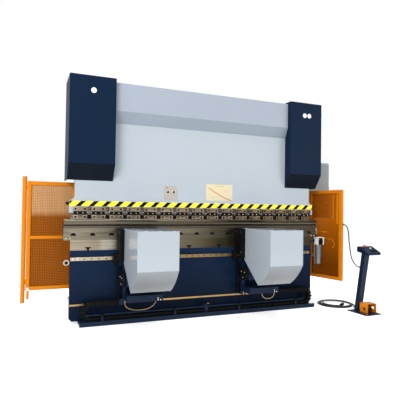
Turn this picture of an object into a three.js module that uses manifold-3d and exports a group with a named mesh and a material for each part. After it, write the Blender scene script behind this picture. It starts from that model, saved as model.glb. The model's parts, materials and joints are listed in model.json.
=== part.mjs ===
// Hydraulic press brake with sheet followers, back gauge, side guards and a foot-switch pedestal.
// Units are millimetres. X runs along the machine, -Y faces the operator, +Z is up.
// The origin is on the floor, under the front face of the bed plate, at the middle of the machine.

import * as THREE from 'three';
import { mergeVertices } from 'three/addons/utils/BufferGeometryUtils.js';
import Module from 'manifold-3d';

const wasm = await Module();
wasm.setup();
const { Manifold, Mesh } = wasm;

// ---------------------------------------------------------------- driving dimensions

const GAP = 0.3; // clearance between faces that touch on the real machine
const SHEET = 4; // sheet-metal thickness of covers and housings
const PLATE = 60; // thickness of the bed plate and of the ram

const BED = { half: 1598, bottom: 30, top: 923.7, chamfer: 30 };
const TABLE = { half: 1672, front: -6, back: 104, bottom: 924, top: 1056 };
const DIE = { front: -40, back: 100, bottom: 1094.3, top: 1156, vee: 50, veeDepth: 28 };
const RAM = {
  half: 1560, flareHalf: 1615, flareTop: 1412, flareBottom: 1366,
  bottom: 1228, shoulder: 1800, top: 2480, headHalf: 1240,
};
const RAM_BUTTONS = [-482, -411];
const RAM_BUTTON_Z = 1485;
const CLAMP = { count: 16, pitch: 200, width: 153, front: -22, top: 1295, bottom: 1159.5 };
const STROKE = 200; // travel of the ram

const FRAME = { inner: 1360, outer: 1430, rear: 1450, top: 2640, jaw: 1640, throat: 460 };
const CYLINDER = { x: 1395, y: 30, radius: 125, bore: 100, rod: 55, bottom: 2050, top: 2560 };
const PISTON = { bottom: 2100, top: 2160 };
const COVER = { front: -129.5, back: 320, top: 2735, lip: 1768.7, bottom: 1588.6 };
const HOOD = { front: -66, top: 2710, lip: 2388.5, bottom: 2256.8, back: 165 };
const LEFT_COVER = [-1647.5, -1143.9];
const RIGHT_COVER = [1164.1, 1662.5];

const TRAY = { left: -1500, right: 1543, front: -163, back: 58, top: 29.7, lip: 50 };
const CHAIN = { front: -125, back: -65, low: 30.2, height: 60, bend: 118 };
const CHAIN_LEFT = -1370;
const CHAIN_RIGHT = 1410;

const HOUSING = {
  width: 434, front: -790, back: -151, top: 1058, waist: -172, waistTop: 674,
  tip: -527, tipBottom: 404, pivotY: -175, pivotZ: 1035,
};
const LEFT_FOLLOWER = -1039; // left side of the left follower's housing
const RIGHT_FOLLOWER = 467;

// Both leaves: z range, tube width, the hinge plane, and how far the frame starts from its hinge axis.
const LEAF = { bottom: 344, top: 1576, tube: 44, y: 304, root: 14 };
const LEFT_LEAF = { length: 545, depth: 30 };
const RIGHT_LEAF = { length: 585, depth: 40 };
const LEFT_HINGE = -1500;
const RIGHT_HINGE = 1800;
const RIGHT_LEAF_ANGLE = 11; // degrees that the right leaf stands open from straight ahead

const BED_NOTCH = { count: 8, pitch: 401.5, z: 833, half: 34, stem: 8, depth: 14 };
const EYE = { z: 678, left: 32, right: 20, depth: 44, front: -12 };
const POCKET = { count: 16, pitch: 209, radius: 25, z: 972, depth: 24 };
const CHANNEL = { front: 4, back: 56, bottom: 1014 }; // groove in the table for the crowning wedge
const WEDGE = {
  left: -1630, right: 1712, front: 8, back: 52, bottom: 1016, top: 1044, armLeft: 1690, armBottom: 960,
};
const CROWNING_MOTOR = { x: 1708, y: -20, bottom: 553, step: 640, top: 816, radius: 52, endRadius: 43 };
const UPPER_RAIL = { right: 1556, front: -25, bottom: 696, top: 735 };
const LOWER_RAIL = { right: 1585, front: -20, bottom: 200, top: 220 };
const GUIDE = { left: -1432, right: 1386, front: -149, back: -139, bottom: 112, top: 124 };
const GUIDE_POSTS = [-1258, -420, 420, 1256];
const CHAIN_ANCHOR = { left: -36, right: 2, front: -136, back: -60, top: 150 };
const GAUGE = { arm: 900, top: 840, beamHalf: 1330, beamTop: 980, finger: 500 };
const PUMP = { y: 560, z: 2450, radius: 95 };
const CABINET_LAMP = { x: 2049, z: 1472, radius: 20, reach: 22 };
const CABINET = { left: 1470, right: 2170, front: 330, back: 730, bottom: 1193, top: 2006, door: 20 };
const PEDESTAL = { x: 1955.8, y: -630.3, yaw: 2.8, column: 30, console: 79 };

// ---------------------------------------------------------------- solids

function toSolid(geometry) {
  const bare = new THREE.BufferGeometry();
  bare.setAttribute('position', geometry.getAttribute('position').clone());
  if (geometry.index) bare.setIndex(geometry.index.clone());
  const merged = mergeVertices(bare, 1e-4);
  return new Manifold(new Mesh({
    numProp: 3,
    vertProperties: new Float32Array(merged.getAttribute('position').array),
    triVerts: new Uint32Array(merged.index.array),
  }));
}

function toGeometry(solid) {
  const mesh = solid.getMesh();
  const geometry = new THREE.BufferGeometry();
  geometry.setAttribute('position', new THREE.BufferAttribute(new Float32Array(mesh.vertProperties), 3));
  geometry.setIndex(new THREE.BufferAttribute(new Uint32Array(mesh.triVerts), 1));
  return geometry;
}

function box(x0, x1, y0, y1, z0, z1) {
  const geometry = new THREE.BoxGeometry(x1 - x0, y1 - y0, z1 - z0);
  geometry.translate((x0 + x1) / 2, (y0 + y1) / 2, (z0 + z1) / 2);
  return toSolid(geometry);
}

function outline(points) {
  return new THREE.Shape(points.map(([u, v]) => new THREE.Vector2(u, v)));
}

function extrude(shape, depth, xAxis, yAxis, zAxis, origin) {
  const geometry = new THREE.ExtrudeGeometry(shape, { depth, bevelEnabled: false, curveSegments: 10 });
  const placed = new THREE.Matrix4().makeBasis(xAxis, yAxis, zAxis).setPosition(origin);
  geometry.applyMatrix4(placed);
  return toSolid(geometry);
}

const X_AXIS = new THREE.Vector3(1, 0, 0);
const Y_AXIS = new THREE.Vector3(0, 1, 0);
const Z_AXIS = new THREE.Vector3(0, 0, 1);
const BACKWARDS = new THREE.Vector3(0, -1, 0);

// An outline of [y, z] points, extruded along X.
function alongX(shape, x0, x1) {
  return extrude(shape, x1 - x0, Y_AXIS, Z_AXIS, X_AXIS, new THREE.Vector3(x0, 0, 0));
}

// An outline of [x, z] points, extruded along Y.
function alongY(shape, y0, y1) {
  return extrude(shape, y1 - y0, X_AXIS, Z_AXIS, BACKWARDS, new THREE.Vector3(0, y1, 0));
}

// A round bar along X, Y or Z from one end point.
function rod(axis, start, length, radius, sides = 20) {
  const geometry = new THREE.CylinderGeometry(radius, radius, length, sides);
  geometry.translate(0, length / 2, 0);
  if (axis === 'x') geometry.rotateZ(-Math.PI / 2);
  if (axis === 'z') geometry.rotateX(Math.PI / 2);
  geometry.translate(...start);
  return toSolid(geometry);
}

function lathe(profile, sides, x, y) {
  const geometry = new THREE.LatheGeometry(profile.map(([r, z]) => new THREE.Vector2(r, z)), sides);
  geometry.rotateX(Math.PI / 2);
  geometry.translate(x, y, 0);
  return toSolid(geometry);
}

function join(...solids) {
  return solids.reduce((whole, piece) => whole.add(piece));
}

function cut(whole, ...tools) {
  return tools.reduce((rest, tool) => rest.subtract(tool), whole);
}

// ---------------------------------------------------------------- materials

const NAVY = { color: 0x17253a, roughness: 0.42, metalness: 0.1 };
const PALE = { color: 0xcbd5de, roughness: 0.38, metalness: 0.05 };
const ORANGE = { color: 0xd9780f, roughness: 0.45, metalness: 0.1 };
const STEEL = { color: 0x9c9484, roughness: 0.35, metalness: 0.9 };
const BRASS = { color: 0xb08a4a, roughness: 0.4, metalness: 0.8 };
const BLACK = { color: 0x17181a, roughness: 0.6, metalness: 0.1 };
const GREY = { color: 0x8d9297, roughness: 0.5, metalness: 0.3 };
const WINDOW = { color: 0xd07a1c, roughness: 0.15, metalness: 0 };
const RED = { color: 0xc0261c, roughness: 0.4, metalness: 0 };
const WHITE = { color: 0xf0efe8, roughness: 0.4, metalness: 0 };

const machine = new THREE.Group();

function addNode(name, solid, finish, parent = machine) {
  const mesh = new THREE.Mesh(toGeometry(solid), new THREE.MeshStandardMaterial(finish));
  mesh.name = name;
  parent.add(mesh);
  return mesh;
}

// ---------------------------------------------------------------- bed, table and tooling

function trayFloor() {
  const floor = box(TRAY.left, TRAY.right, TRAY.front, TRAY.back, 0, TRAY.top);
  const lip = box(TRAY.left, TRAY.right, TRAY.front, TRAY.front + 12, TRAY.top - 5, TRAY.lip);
  return join(floor, lip);
}

// Equal places along X, the same distance apart and centred on the machine.
function row(count, pitch) {
  return Array.from({ length: count }, (_, i) => (i - (count - 1) / 2) * pitch);
}

// A shallow winged recess in the face of the bed plate.
function bedNotch(x) {
  const { z, half, stem, depth } = BED_NOTCH;
  const wings = outline([
    [x - half, z + 8], [x, z - 14], [x + half, z + 8], [x + 20, z + 12], [x - 20, z + 12],
  ]);
  return join(alongY(wings, -1, depth), box(x - stem, x + stem, -1, depth, z - 24, z));
}

// A round eye beside the bed plate, for tying the machine down in transport.
function transportEye(side, radius) {
  const { z, depth, front } = EYE;
  const x = side * (BED.half + radius + 6);
  const root = side * (BED.half - 8);
  const tab = box(Math.min(root, x), Math.max(root, x), 5, 25, z - radius / 2, z + radius / 2);
  const eye = join(rod('y', [x, front, z], depth, radius), tab);
  return cut(eye, rod('y', [x, front - 2, z], depth + 6, radius * 0.6));
}

function bedPlate() {
  const { half, bottom, top, chamfer } = BED;
  const plate = alongY(outline([
    [-half + chamfer, bottom], [half - chamfer, bottom], [half, bottom + chamfer], [half, top],
    [-half, top], [-half, bottom + chamfer],
  ]), 0, PLATE);
  const eyes = [transportEye(-1, EYE.left), transportEye(1, EYE.right)];
  return cut(join(plate, ...eyes), ...row(BED_NOTCH.count, BED_NOTCH.pitch).map(bedNotch));
}

function tablePocket(x) {
  const { radius, z, depth } = POCKET;
  const shape = new THREE.Shape();
  shape.moveTo(x - radius, z);
  shape.lineTo(x + radius, z);
  shape.absarc(x, z, radius, 0, Math.PI, false);
  return alongY(shape, TABLE.front - 1, TABLE.front + depth);
}

function tableTop() {
  const bar = box(-TABLE.half, TABLE.half, TABLE.front, TABLE.back, TABLE.bottom, TABLE.top);
  const channel = box(
    -TABLE.half - 1, TABLE.half + 1, CHANNEL.front, CHANNEL.back, CHANNEL.bottom, TABLE.top + 1,
  );
  return cut(bar, channel, ...row(POCKET.count, POCKET.pitch).map(tablePocket));
}

function crowningWedge() {
  const { left, right, front, back, bottom, top, armLeft, armBottom } = WEDGE;
  const arm = box(armLeft, right, front, back, armBottom, bottom + 4);
  return join(box(left, right, front, back, bottom, top), arm);
}

// The geared motor that pushes the crowning wedge, hung from a bracket beside the bed plate.
function crowningDrive() {
  const { x, y, bottom, step, top, radius, endRadius } = CROWNING_MOTOR;
  return join(
    box(BED.half + GAP, 1690, 8, 26, 830, 900),
    box(1668, 1770, -68, 30, 915, 923),
    box(1668, 1676, -68, 30, 820, 920),
    box(1762, 1770, -68, 30, 820, 920),
    box(1672, 1766, -58, 20, 812, 904),
    rod('z', [1701, 18, 900], 59, 9, 12),
    rod('z', [x, y, step], top - step, radius, 24),
    rod('z', [x, y, bottom], step + 3 - bottom, endRadius, 24),
  );
}

function dieHolder() {
  return alongX(outline([
    [-24, TABLE.top + GAP], [90, TABLE.top + GAP], [90, 1078], [78, 1094], [-12, 1094], [-24, 1082],
  ]), -TABLE.half, TABLE.half);
}

function dieBlock() {
  const { front, back, bottom, top, vee, veeDepth } = DIE;
  const middle = (front + back) / 2;
  return alongX(outline([
    [front + 8, bottom], [back - 8, bottom], [back, bottom + 8], [back, 1120], [back - 9, 1131], [back, 1142],
    [back, top - 5], [back - 5, top], [middle + vee / 2, top], [middle, top - veeDepth],
    [middle - vee / 2, top], [front + 5, top], [front, top - 5], [front, 1142], [front + 9, 1131],
    [front, 1120], [front, bottom + 8],
  ]), -TABLE.half + 4, TABLE.half - 4);
}

// ---------------------------------------------------------------- ram and its drive

function ramPlate() {
  const { half, flareHalf, flareTop, flareBottom, bottom, shoulder, top, headHalf } = RAM;
  const shape = new THREE.Shape();
  shape.moveTo(-flareHalf, bottom);
  shape.lineTo(flareHalf, bottom);
  shape.lineTo(flareHalf, flareBottom);
  shape.quadraticCurveTo(half, flareBottom + 12, half, flareTop);
  shape.lineTo(half, shoulder);
  shape.lineTo(headHalf, shoulder);
  shape.lineTo(headHalf, top);
  shape.lineTo(-headHalf, top);
  shape.lineTo(-headHalf, shoulder);
  shape.lineTo(-half, shoulder);
  shape.lineTo(-half, flareTop);
  shape.quadraticCurveTo(-half, flareBottom + 12, -flareHalf, flareBottom);
  const knobs = [rod('x', [-1650, 24, 1330], 60, 12, 12), rod('x', [1590, 24, 1330], 60, 12, 12)];
  const plate = join(alongY(shape, 0, PLATE), ...knobs);
  return cut(plate, ...RAM_BUTTONS.map((x) => rod('y', [x, -1, RAM_BUTTON_Z], 14, 13, 16)));
}

function ramPanel() {
  const plate = box(-526, -366, -3, -GAP, 1394, 1556);
  return cut(plate, ...RAM_BUTTONS.map((x) => rod('y', [x, -5, RAM_BUTTON_Z], 10, 13, 16)));
}

function ramButton(x) {
  return join(rod('y', [x, -12, RAM_BUTTON_Z], 14, 11, 16), rod('y', [x, -14, RAM_BUTTON_Z], 3, 9, 16));
}

// One tool clamp: an upper plate bolted to the ram and a lower plate that grips the punch.
function toolClamp(x) {
  const half = CLAMP.width / 2;
  const upper = box(x - half, x + half, CLAMP.front, -GAP, 1243, CLAMP.top);
  const lower = box(x - half, x + half, CLAMP.front, 2, CLAMP.bottom, 1206);
  const neck = box(x - half + 6, x + half - 6, -10, -GAP, 1200, 1250);
  return join(upper, lower, neck);
}

function clampBar() {
  const length = CLAMP.count * CLAMP.pitch;
  const bar = box(-length / 2, length / 2, 0, PLATE, CLAMP.bottom + 4, RAM.bottom - GAP);
  const slot = box(-length / 2 - 1, length / 2 + 1, 22, 38, CLAMP.bottom, 1196);
  return join(cut(bar, slot), ...row(CLAMP.count, CLAMP.pitch).map(toolClamp));
}

function punch() {
  return alongX(outline([
    [23, 1194], [23, 1158.5], [14, 1158.5], [14, 1154], [29, 1136], [31, 1136], [46, 1154], [46, 1158.5],
    [37, 1158.5], [37, 1194],
  ]), -1600, 1600);
}

function piston(side) {
  return lathe([
    [0, RAM.shoulder + GAP], [CYLINDER.rod + 12, RAM.shoulder + GAP], [CYLINDER.rod + 12, 1826],
    [CYLINDER.rod, 1832], [CYLINDER.rod, PISTON.bottom], [CYLINDER.bore - GAP * 2, PISTON.bottom],
    [CYLINDER.bore - GAP * 2, PISTON.top], [0, PISTON.top],
  ], 24, side * CYLINDER.x, CYLINDER.y);
}

function cylinderBody(side) {
  const { radius, bore, rod: rodRadius, bottom, top } = CYLINDER;
  const roof = PISTON.top + STROKE + 20;
  return lathe([
    [rodRadius + 1, bottom], [radius, bottom], [radius, top], [60, top], [60, top + 30], [0, top + 30],
    [0, roof], [bore, roof], [bore, bottom + 30], [rodRadius + 1, bottom + 30], [rodRadius + 1, bottom],
  ], 24, side * CYLINDER.x, CYLINDER.y);
}

// ---------------------------------------------------------------- frame and covers

function sidePlate(x0, x1) {
  const { rear, top, jaw, throat } = FRAME;
  const radius = 120;
  const shape = new THREE.Shape();
  shape.moveTo(62, 0);
  shape.lineTo(rear, 0);
  shape.lineTo(rear, 2150);
  shape.lineTo(1050, top);
  shape.lineTo(158, top);
  shape.lineTo(158, 1790);
  shape.lineTo(62, 1790);
  shape.lineTo(62, jaw);
  shape.lineTo(throat - radius, jaw);
  shape.absarc(throat - radius, jaw - radius, radius, Math.PI / 2, 0, true);
  shape.absarc(throat - radius, BED.top + radius, radius, 0, -Math.PI / 2, true);
  shape.lineTo(62, BED.top);
  return alongX(shape, x0, x1);
}

function sideFrameLeft() {
  const { inner, outer, rear } = FRAME;
  const foot = box(-outer - 60, -inner + 60, 200, rear - 20, 0, 25);
  const post = box(-1476, -1438, 284, 324, LEAF.bottom, 1700);
  const pads = [box(-1445, -1425, 284, 324, LEAF.bottom, 900), box(-1445, -1425, 284, 324, 1660, 1700)];
  const knuckles = [480.5, 1320].map((z) => join(
    rod('z', [LEFT_HINGE, LEAF.y, z], 59, 9, 12),
    box(LEFT_HINGE, -1470, LEAF.y - 4, LEAF.y + 4, z, z + 59),
  ));
  return join(sidePlate(-outer, -inner), foot, post, ...pads, ...knuckles);
}

function sideFrameRight() {
  const { inner, outer, rear } = FRAME;
  const foot = box(inner - 60, outer + 60, 200, rear - 20, 0, 25);
  const post = box(1780, 1820, 330, 370, LEAF.bottom, 1185);
  const lowArm = box(1425, 1820, 330, 370, 400, 450);
  const highArm = box(1425, 1820, 470, 510, 1110, 1185);
  const highLink = box(1780, 1820, 330, 510, 1110, 1185);
  const shelf = box(1425, 1560, 470, 700, 1150, CABINET.bottom - GAP);
  const knuckles = [480.5, 1120].map((z) => join(
    rod('z', [RIGHT_HINGE, LEAF.y, z], 59, 9, 12),
    box(RIGHT_HINGE - 4, RIGHT_HINGE + 4, LEAF.y, 335, z, z + 59),
  ));
  return join(sidePlate(inner, outer), foot, post, lowArm, highArm, highLink, shelf, ...knuckles);
}

function endCover([x0, x1], outerSide) {
  const { front, back, top, lip, bottom } = COVER;
  const skin = alongX(outline([
    [front, lip], [front, top], [back, top], [back, top - SHEET], [front + SHEET, top - SHEET],
    [front + SHEET, lip + 1], [-3, bottom + 4], [-3, bottom],
  ]), x0, x1);
  const flank = outline([[front, lip], [front, top], [back, top], [back, bottom], [-3, bottom]]);
  const flange = outline([[front, lip], [front, top], [-3, top], [-3, bottom]]);
  const left = outerSide < 0 ? flank : flange;
  const right = outerSide < 0 ? flange : flank;
  return join(skin, alongX(left, x0, x0 + SHEET), alongX(right, x1 - SHEET, x1));
}

function hood() {
  const { front, top, lip, bottom, back } = HOOD;
  return alongX(outline([
    [front, lip], [front, top], [back, top], [back, top - SHEET], [front + SHEET, top - SHEET],
    [front + SHEET, lip + 1], [-3, bottom + 6], [-3, bottom],
  ]), LEFT_COVER[1] + GAP, RIGHT_COVER[0] - GAP);
}

function oilTank() {
  const half = FRAME.inner - GAP;
  return alongX(outline([[166, 2320], [420, 2320], [450, 2350], [450, 2600], [166, 2600]]), -half, half);
}

function pumpMotor() {
  const { y, z, radius } = PUMP;
  const body = rod('x', [-260, y, z], 420, radius, 24);
  const cap = rod('x', [160, y, z], 40, radius - 15, 24);
  const saddle = box(-200, 120, 450 + GAP, y, z - 50, z + 50);
  const terminalBox = box(-120, 20, 520, 600, 2535, 2590);
  return join(body, cap, saddle, terminalBox);
}

// ---------------------------------------------------------------- side guards and cabinet

// A frame of square tube, standing from the hinge axis along +X before it is turned.
function leafFrame({ length, depth }) {
  const { bottom, top, tube, root } = LEAF;
  const half = depth / 2;
  return cut(
    box(root, length, -half, half, bottom, top),
    box(root + tube, length - tube, -half - 1, half + 1, bottom + tube, top - tube),
  );
}

// The leaf's half of a hinge: a pin sleeve on the axis and a tab to the frame.
const KNUCKLE = { height: 59, radius: 9, tab: 4, reach: 20 };

function leafKnuckles(lifts) {
  const { height, radius, tab, reach } = KNUCKLE;
  const knuckle = (z) => join(rod('z', [0, 0, z], height, radius, 12), box(0, reach, -tab, tab, z, z + height));
  return lifts.map(knuckle);
}

const LEFT_BAR = { z: 940, half: 18 };
const LEFT_POST = { offset: 27, radius: 24, bottom: 206, height: 1421 };
const DROP_BOLT = { half: 10, bottom: 246, top: 350 };

function guardLeft() {
  const { length, depth } = LEFT_LEAF;
  const { bottom, top, tube, root } = LEAF;
  const sheet = box(root + tube - 8, length - tube + 8, -1.5, 1.5, bottom + 20, top - 20);
  const barHalf = depth / 2 - 4;
  const bar = box(
    root + tube - 5, length - tube + 5, -barHalf, barHalf,
    LEFT_BAR.z - LEFT_BAR.half, LEFT_BAR.z + LEFT_BAR.half,
  );
  const postX = length + LEFT_POST.offset;
  const post = rod('z', [postX, 0, LEFT_POST.bottom], LEFT_POST.height, LEFT_POST.radius, 16);
  const links = [420, 1480].map((z) => box(length - 10, postX, -10, 10, z, z + 50));
  const bolt = box(
    length - 40, length - 12, -DROP_BOLT.half, DROP_BOLT.half, DROP_BOLT.bottom, DROP_BOLT.top,
  );
  return join(leafFrame(LEFT_LEAF), sheet, bar, post, ...links, bolt, ...leafKnuckles([420.5, 1380]));
}

function guardRight() {
  const cableClip = box(RIGHT_LEAF.length - 2, RIGHT_LEAF.length + 12, -14, 14, 1090, 1118);
  return join(leafFrame(RIGHT_LEAF), cableClip, ...leafKnuckles([420.5, 1060]));
}

function guardWindow() {
  const edge = LEAF.tube + GAP;
  return box(LEAF.root + edge, RIGHT_LEAF.length - edge, -3, 3, LEAF.bottom + edge, LEAF.top - edge);
}

function addGuards() {
  const left = addNode('guard_left', guardLeft(), ORANGE);
  left.position.set(LEFT_HINGE, LEAF.y, 0);
  left.rotation.z = Math.PI;
  const right = new THREE.Group();
  addNode('guard_right', guardRight(), ORANGE, right);
  addNode('guard_right_window', guardWindow(), WINDOW, right);
  right.position.set(RIGHT_HINGE, LEAF.y, 0);
  right.rotation.z = THREE.MathUtils.degToRad(RIGHT_LEAF_ANGLE - 90);
  machine.add(right);
}

function cabinetBody() {
  const { left, right, front, back, bottom, top, door } = CABINET;
  const shell = box(left, right - door - GAP, front, back, bottom, top);
  const { x, z, radius, reach } = CABINET_LAMP;
  const lamp = rod('y', [x, front - reach, z], reach + 8, radius, 16);
  return cut(join(shell, lamp), box(left + 5, right, front + 5, back - 5, bottom + 5, top - 5));
}

function cabinetDoor() {
  const { right, front, back, bottom, top, door } = CABINET;
  const leaf = box(right - door, right, front + 2, back - 4, bottom + 4, top - 4);
  return join(leaf, box(right - 1, right + 24, front + 24, front + 44, 1540, 1660));
}

// ---------------------------------------------------------------- rails, chains and followers

function upperRail() {
  const { right, front, bottom, top } = UPPER_RAIL;
  return box(-BED.half + 2, right, front, -GAP, bottom, top);
}

function lowerRail() {
  const { right, front, bottom, top } = LOWER_RAIL;
  return box(-BED.half + 2, right, front, -GAP, bottom, top);
}

function guideBar() {
  const { left, right, front, back, bottom, top } = GUIDE;
  const post = (x) => box(x - 12, x + 12, front + 1, back - 1, TRAY.top + GAP, bottom + 2);
  return join(box(left, right, front, back, bottom, top), ...GUIDE_POSTS.map(post));
}

// The lower runs of both cable chains lie in the tray and meet at the bracket in the middle.
function chainLowerRuns() {
  const { left, right, front, back, top } = CHAIN_ANCHOR;
  const runTop = CHAIN.low + CHAIN.height;
  const runs = box(CHAIN_LEFT + GAP, CHAIN_RIGHT - GAP, CHAIN.front, CHAIN.back, CHAIN.low, runTop);
  return join(runs, box(left, right, front, back, CHAIN.low, top));
}

// Half a turn of cable chain, open towards the middle of the machine.
function chainBend(x, side) {
  const centre = CHAIN.low + CHAIN.bend;
  const inside = CHAIN.bend - CHAIN.height;
  const shape = new THREE.Shape();
  const start = side * Math.PI / 2;
  shape.absarc(x, centre, CHAIN.bend, start, start + Math.PI, false);
  shape.absarc(x, centre, inside, start + Math.PI, start, true);
  return alongY(shape, CHAIN.front, CHAIN.back);
}

function housingOutline(inset) {
  const { front, back, top, waist, waistTop, tip, tipBottom, pivotY, pivotZ } = HOUSING;
  const radius = Math.hypot(tip - pivotY, tipBottom - pivotZ) - inset;
  const frontY = front + inset;
  const arcStart = Math.atan2(-Math.sqrt(radius ** 2 - (frontY - pivotY) ** 2), frontY - pivotY);
  const arcEnd = Math.atan2(tipBottom - pivotZ, tip - pivotY);
  const shape = new THREE.Shape();
  shape.moveTo(back, top - inset);
  shape.lineTo(frontY, top - inset);
  shape.absarc(pivotY, pivotZ, radius, arcStart, arcEnd, false);
  shape.lineTo(waist, waistTop);
  return shape;
}

function followerHousing(x) {
  const right = x + HOUSING.width;
  const outer = alongX(housingOutline(0), x, right);
  const inner = alongX(housingOutline(SHEET), x + SHEET, right - SHEET);
  const roof = HOUSING.top - SHEET;
  const opening = alongX(outline([
    [HOUSING.back + 1, roof], [-230, roof], [-560, 430], [-500, 380], [HOUSING.back + 1, 660],
  ]), x + SHEET, right - SHEET);
  const shaft = rod('x', [x - 1, HOUSING.pivotY, HOUSING.pivotZ], HOUSING.width + 2, 16.5);
  return cut(outer, inner, opening, shaft);
}

// The carriage that runs on both rails: slider, backbone, pivot shaft, column and drive housing.
function followerCarriage(x, side) {
  const right = x + HOUSING.width;
  const { pivotY, pivotZ } = HOUSING;
  return join(
    box(x - 94, x - 3, -88, -25 - GAP, 664, 764),
    box(x - 50, x - 3, -200, -30, 690, 1052),
    rod('x', [x - 20, pivotY, pivotZ], HOUSING.width + 40, 15),
    box(right + 3, right + 18, -200, -60, 960, 1052),
    box(x - 50, right + 18, -100, -60, 960, 1010),
    box(x - 50, x + 50, -110, -60, 640, 720),
    box(x + 8, x + 50, -110, -60, 240, 660),
    box(x + 6, x + 120, -290, -60, 430, 570),
    box(x + 4, x + 64, -110, -26, 222, 262),
    box(x + 4, x + 64, -110, -20 - GAP, 222, 245),
    box(x + 20, right - 10, -300, -60, 258, 330),
    side < 0 ? box(x - 30, x + 20, -125, -65, 206, 270) : box(right - 30, right - 10, -125, -65, 206, 270),
  );
}

const DISC = { y: -215, z: 500, radius: 78, hub: 26, shaft: 20 };

function tiltDisc(x) {
  const { y, z, radius, hub, shaft } = DISC;
  return join(
    rod('x', [x - 38, y, z], 35, radius, 28),
    rod('x', [x - 38, y, z], 44 - GAP, shaft, 16),
    rod('x', [x - 46, y, z], 10, hub, 16),
  );
}

function tube(points, radius, sides, steps) {
  const path = new THREE.CatmullRomCurve3(points.map((p) => new THREE.Vector3(...p)), false, 'centripetal');
  const section = new THREE.Shape();
  section.absarc(0, 0, radius, 0, Math.PI * 2, false);
  const geometry = new THREE.ExtrudeGeometry(section, {
    extrudePath: path, steps, bevelEnabled: false, curveSegments: sides,
  });
  return toSolid(geometry);
}

function addFollower(name, x, chainX, side) {
  const right = x + HOUSING.width;
  addNode(`carriage_${name}`, followerCarriage(x, side), NAVY);
  addNode(`housing_${name}`, followerHousing(x), PALE);
  addNode(`tilt_disc_${name}`, tiltDisc(x), BLACK);
  addNode(`chain_bend_${name}`, chainBend(chainX, -side), BLACK);
  const runTop = CHAIN.low + 2 * CHAIN.bend;
  const run = side < 0
    ? box(chainX + GAP, x - 30 - GAP, CHAIN.front, CHAIN.back, runTop - CHAIN.height, runTop)
    : box(right - 10 + GAP, chainX - GAP, CHAIN.front, CHAIN.back, runTop - CHAIN.height, runTop);
  addNode(`chain_upper_run_${name}`, run, BLACK);
}

// ---------------------------------------------------------------- back gauge

function gaugeBase() {
  const { arm, top } = GAUGE;
  const arms = [-arm, arm].map((x) => box(x - 40, x + 40, PLATE + GAP, 960, top - 80, top));
  return join(...arms, box(-arm - 40, arm + 40, 900, 960, top - 100, top - 40));
}

function gaugeBeam() {
  const { arm, top, beamHalf, beamTop } = GAUGE;
  const sliders = [-arm, arm].map((x) => box(x - 60, x + 60, 470, 610, top + GAP, top + 65));
  return join(box(-beamHalf, beamHalf, 500, 580, beamTop - 80, beamTop), ...sliders);
}

function gaugeFinger(x) {
  return join(
    box(x - 40, x + 40, 490, 590, GAUGE.beamTop + GAP, 1030),
    box(x - 30, x + 30, 520, 570, 1025, 1190),
    box(x - 22, x + 22, 330, 530, 1160, 1186),
  );
}

// ---------------------------------------------------------------- pedestal

const HEAD_SLOPE = Math.atan2(80, 165); // the console face leans back by this angle
const STOP_BUTTON = [36, 40];
const START_BUTTON = [114, 10];
const BASE_PLATE = { halfWidth: 125, halfDepth: 164, thickness: 10 };
const COLUMN_HALF = 41;
const COLUMN_OUTLINE = [[156.5, 9], [100.5, 9], [-21.8, 745.5], [34.7, 756.3]];
const CONSOLE_HALF = 111;
const CONSOLE_OUTLINE = [[-89, 733], [93, 768], [93, 826], [80, 834], [58, 834], [-86, 764]];
const CONSOLE_CREST = { y: 58, z: 834 };
const FOOT_GLAND = { y: 130, z: 40, length: 40, radius: 11 };
const SIDE_GLAND = { x: 2, y: 55, z: 566, length: 35, radius: 10 };
const BUTTON_WELL = { radius: 12.5, depth: 30 };

function pedestalStand() {
  const { halfWidth, halfDepth, thickness } = BASE_PLATE;
  const base = box(-halfWidth, halfWidth, -halfDepth, halfDepth, 0, thickness);
  const middle = PEDESTAL.column;
  const column = alongX(outline(COLUMN_OUTLINE), middle - COLUMN_HALF, middle + COLUMN_HALF);
  const footGland = rod(
    'y', [PEDESTAL.column, FOOT_GLAND.y, FOOT_GLAND.z], FOOT_GLAND.length, FOOT_GLAND.radius, 12,
  );
  const sideGland = rod(
    'y', [SIDE_GLAND.x, SIDE_GLAND.y, SIDE_GLAND.z], SIDE_GLAND.length, SIDE_GLAND.radius, 12,
  );
  return join(base, column, footGland, sideGland);
}

// The point of the leaning console face above (x, y) in the pedestal's own frame.
function facePoint(x, y) {
  return new THREE.Vector3(x, y, CONSOLE_CREST.z - (CONSOLE_CREST.y - y) * Math.tan(HEAD_SLOPE));
}

function buttonWell([x, y]) {
  const { radius, depth } = BUTTON_WELL;
  const geometry = new THREE.CylinderGeometry(radius, radius, depth, 20);
  geometry.rotateX(Math.PI / 2 + HEAD_SLOPE);
  geometry.translate(...facePoint(x, y).toArray());
  return toSolid(geometry);
}

function consoleHead() {
  const middle = PEDESTAL.console;
  const head = alongX(outline(CONSOLE_OUTLINE), middle - CONSOLE_HALF, middle + CONSOLE_HALF);
  return cut(head, buttonWell(STOP_BUTTON), buttonWell(START_BUTTON));
}

function headButton(name, [x, y], profile, finish, parent) {
  const geometry = new THREE.LatheGeometry(profile.map(([r, z]) => new THREE.Vector2(r, z)), 20);
  geometry.rotateX(Math.PI / 2);
  const button = addNode(name, toSolid(geometry), finish, parent);
  button.position.copy(facePoint(x, y));
  button.rotation.x = HEAD_SLOPE;
}

// The pedal's hood: its left and right sides, front and back, top, and sheet thickness.
const PEDAL_GUARD = { left: -50, right: 99, front: -108, back: 24, top: 128, sheet: 5 };
const PEDAL_PIVOT = { y: 6, z: 42 };

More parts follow.
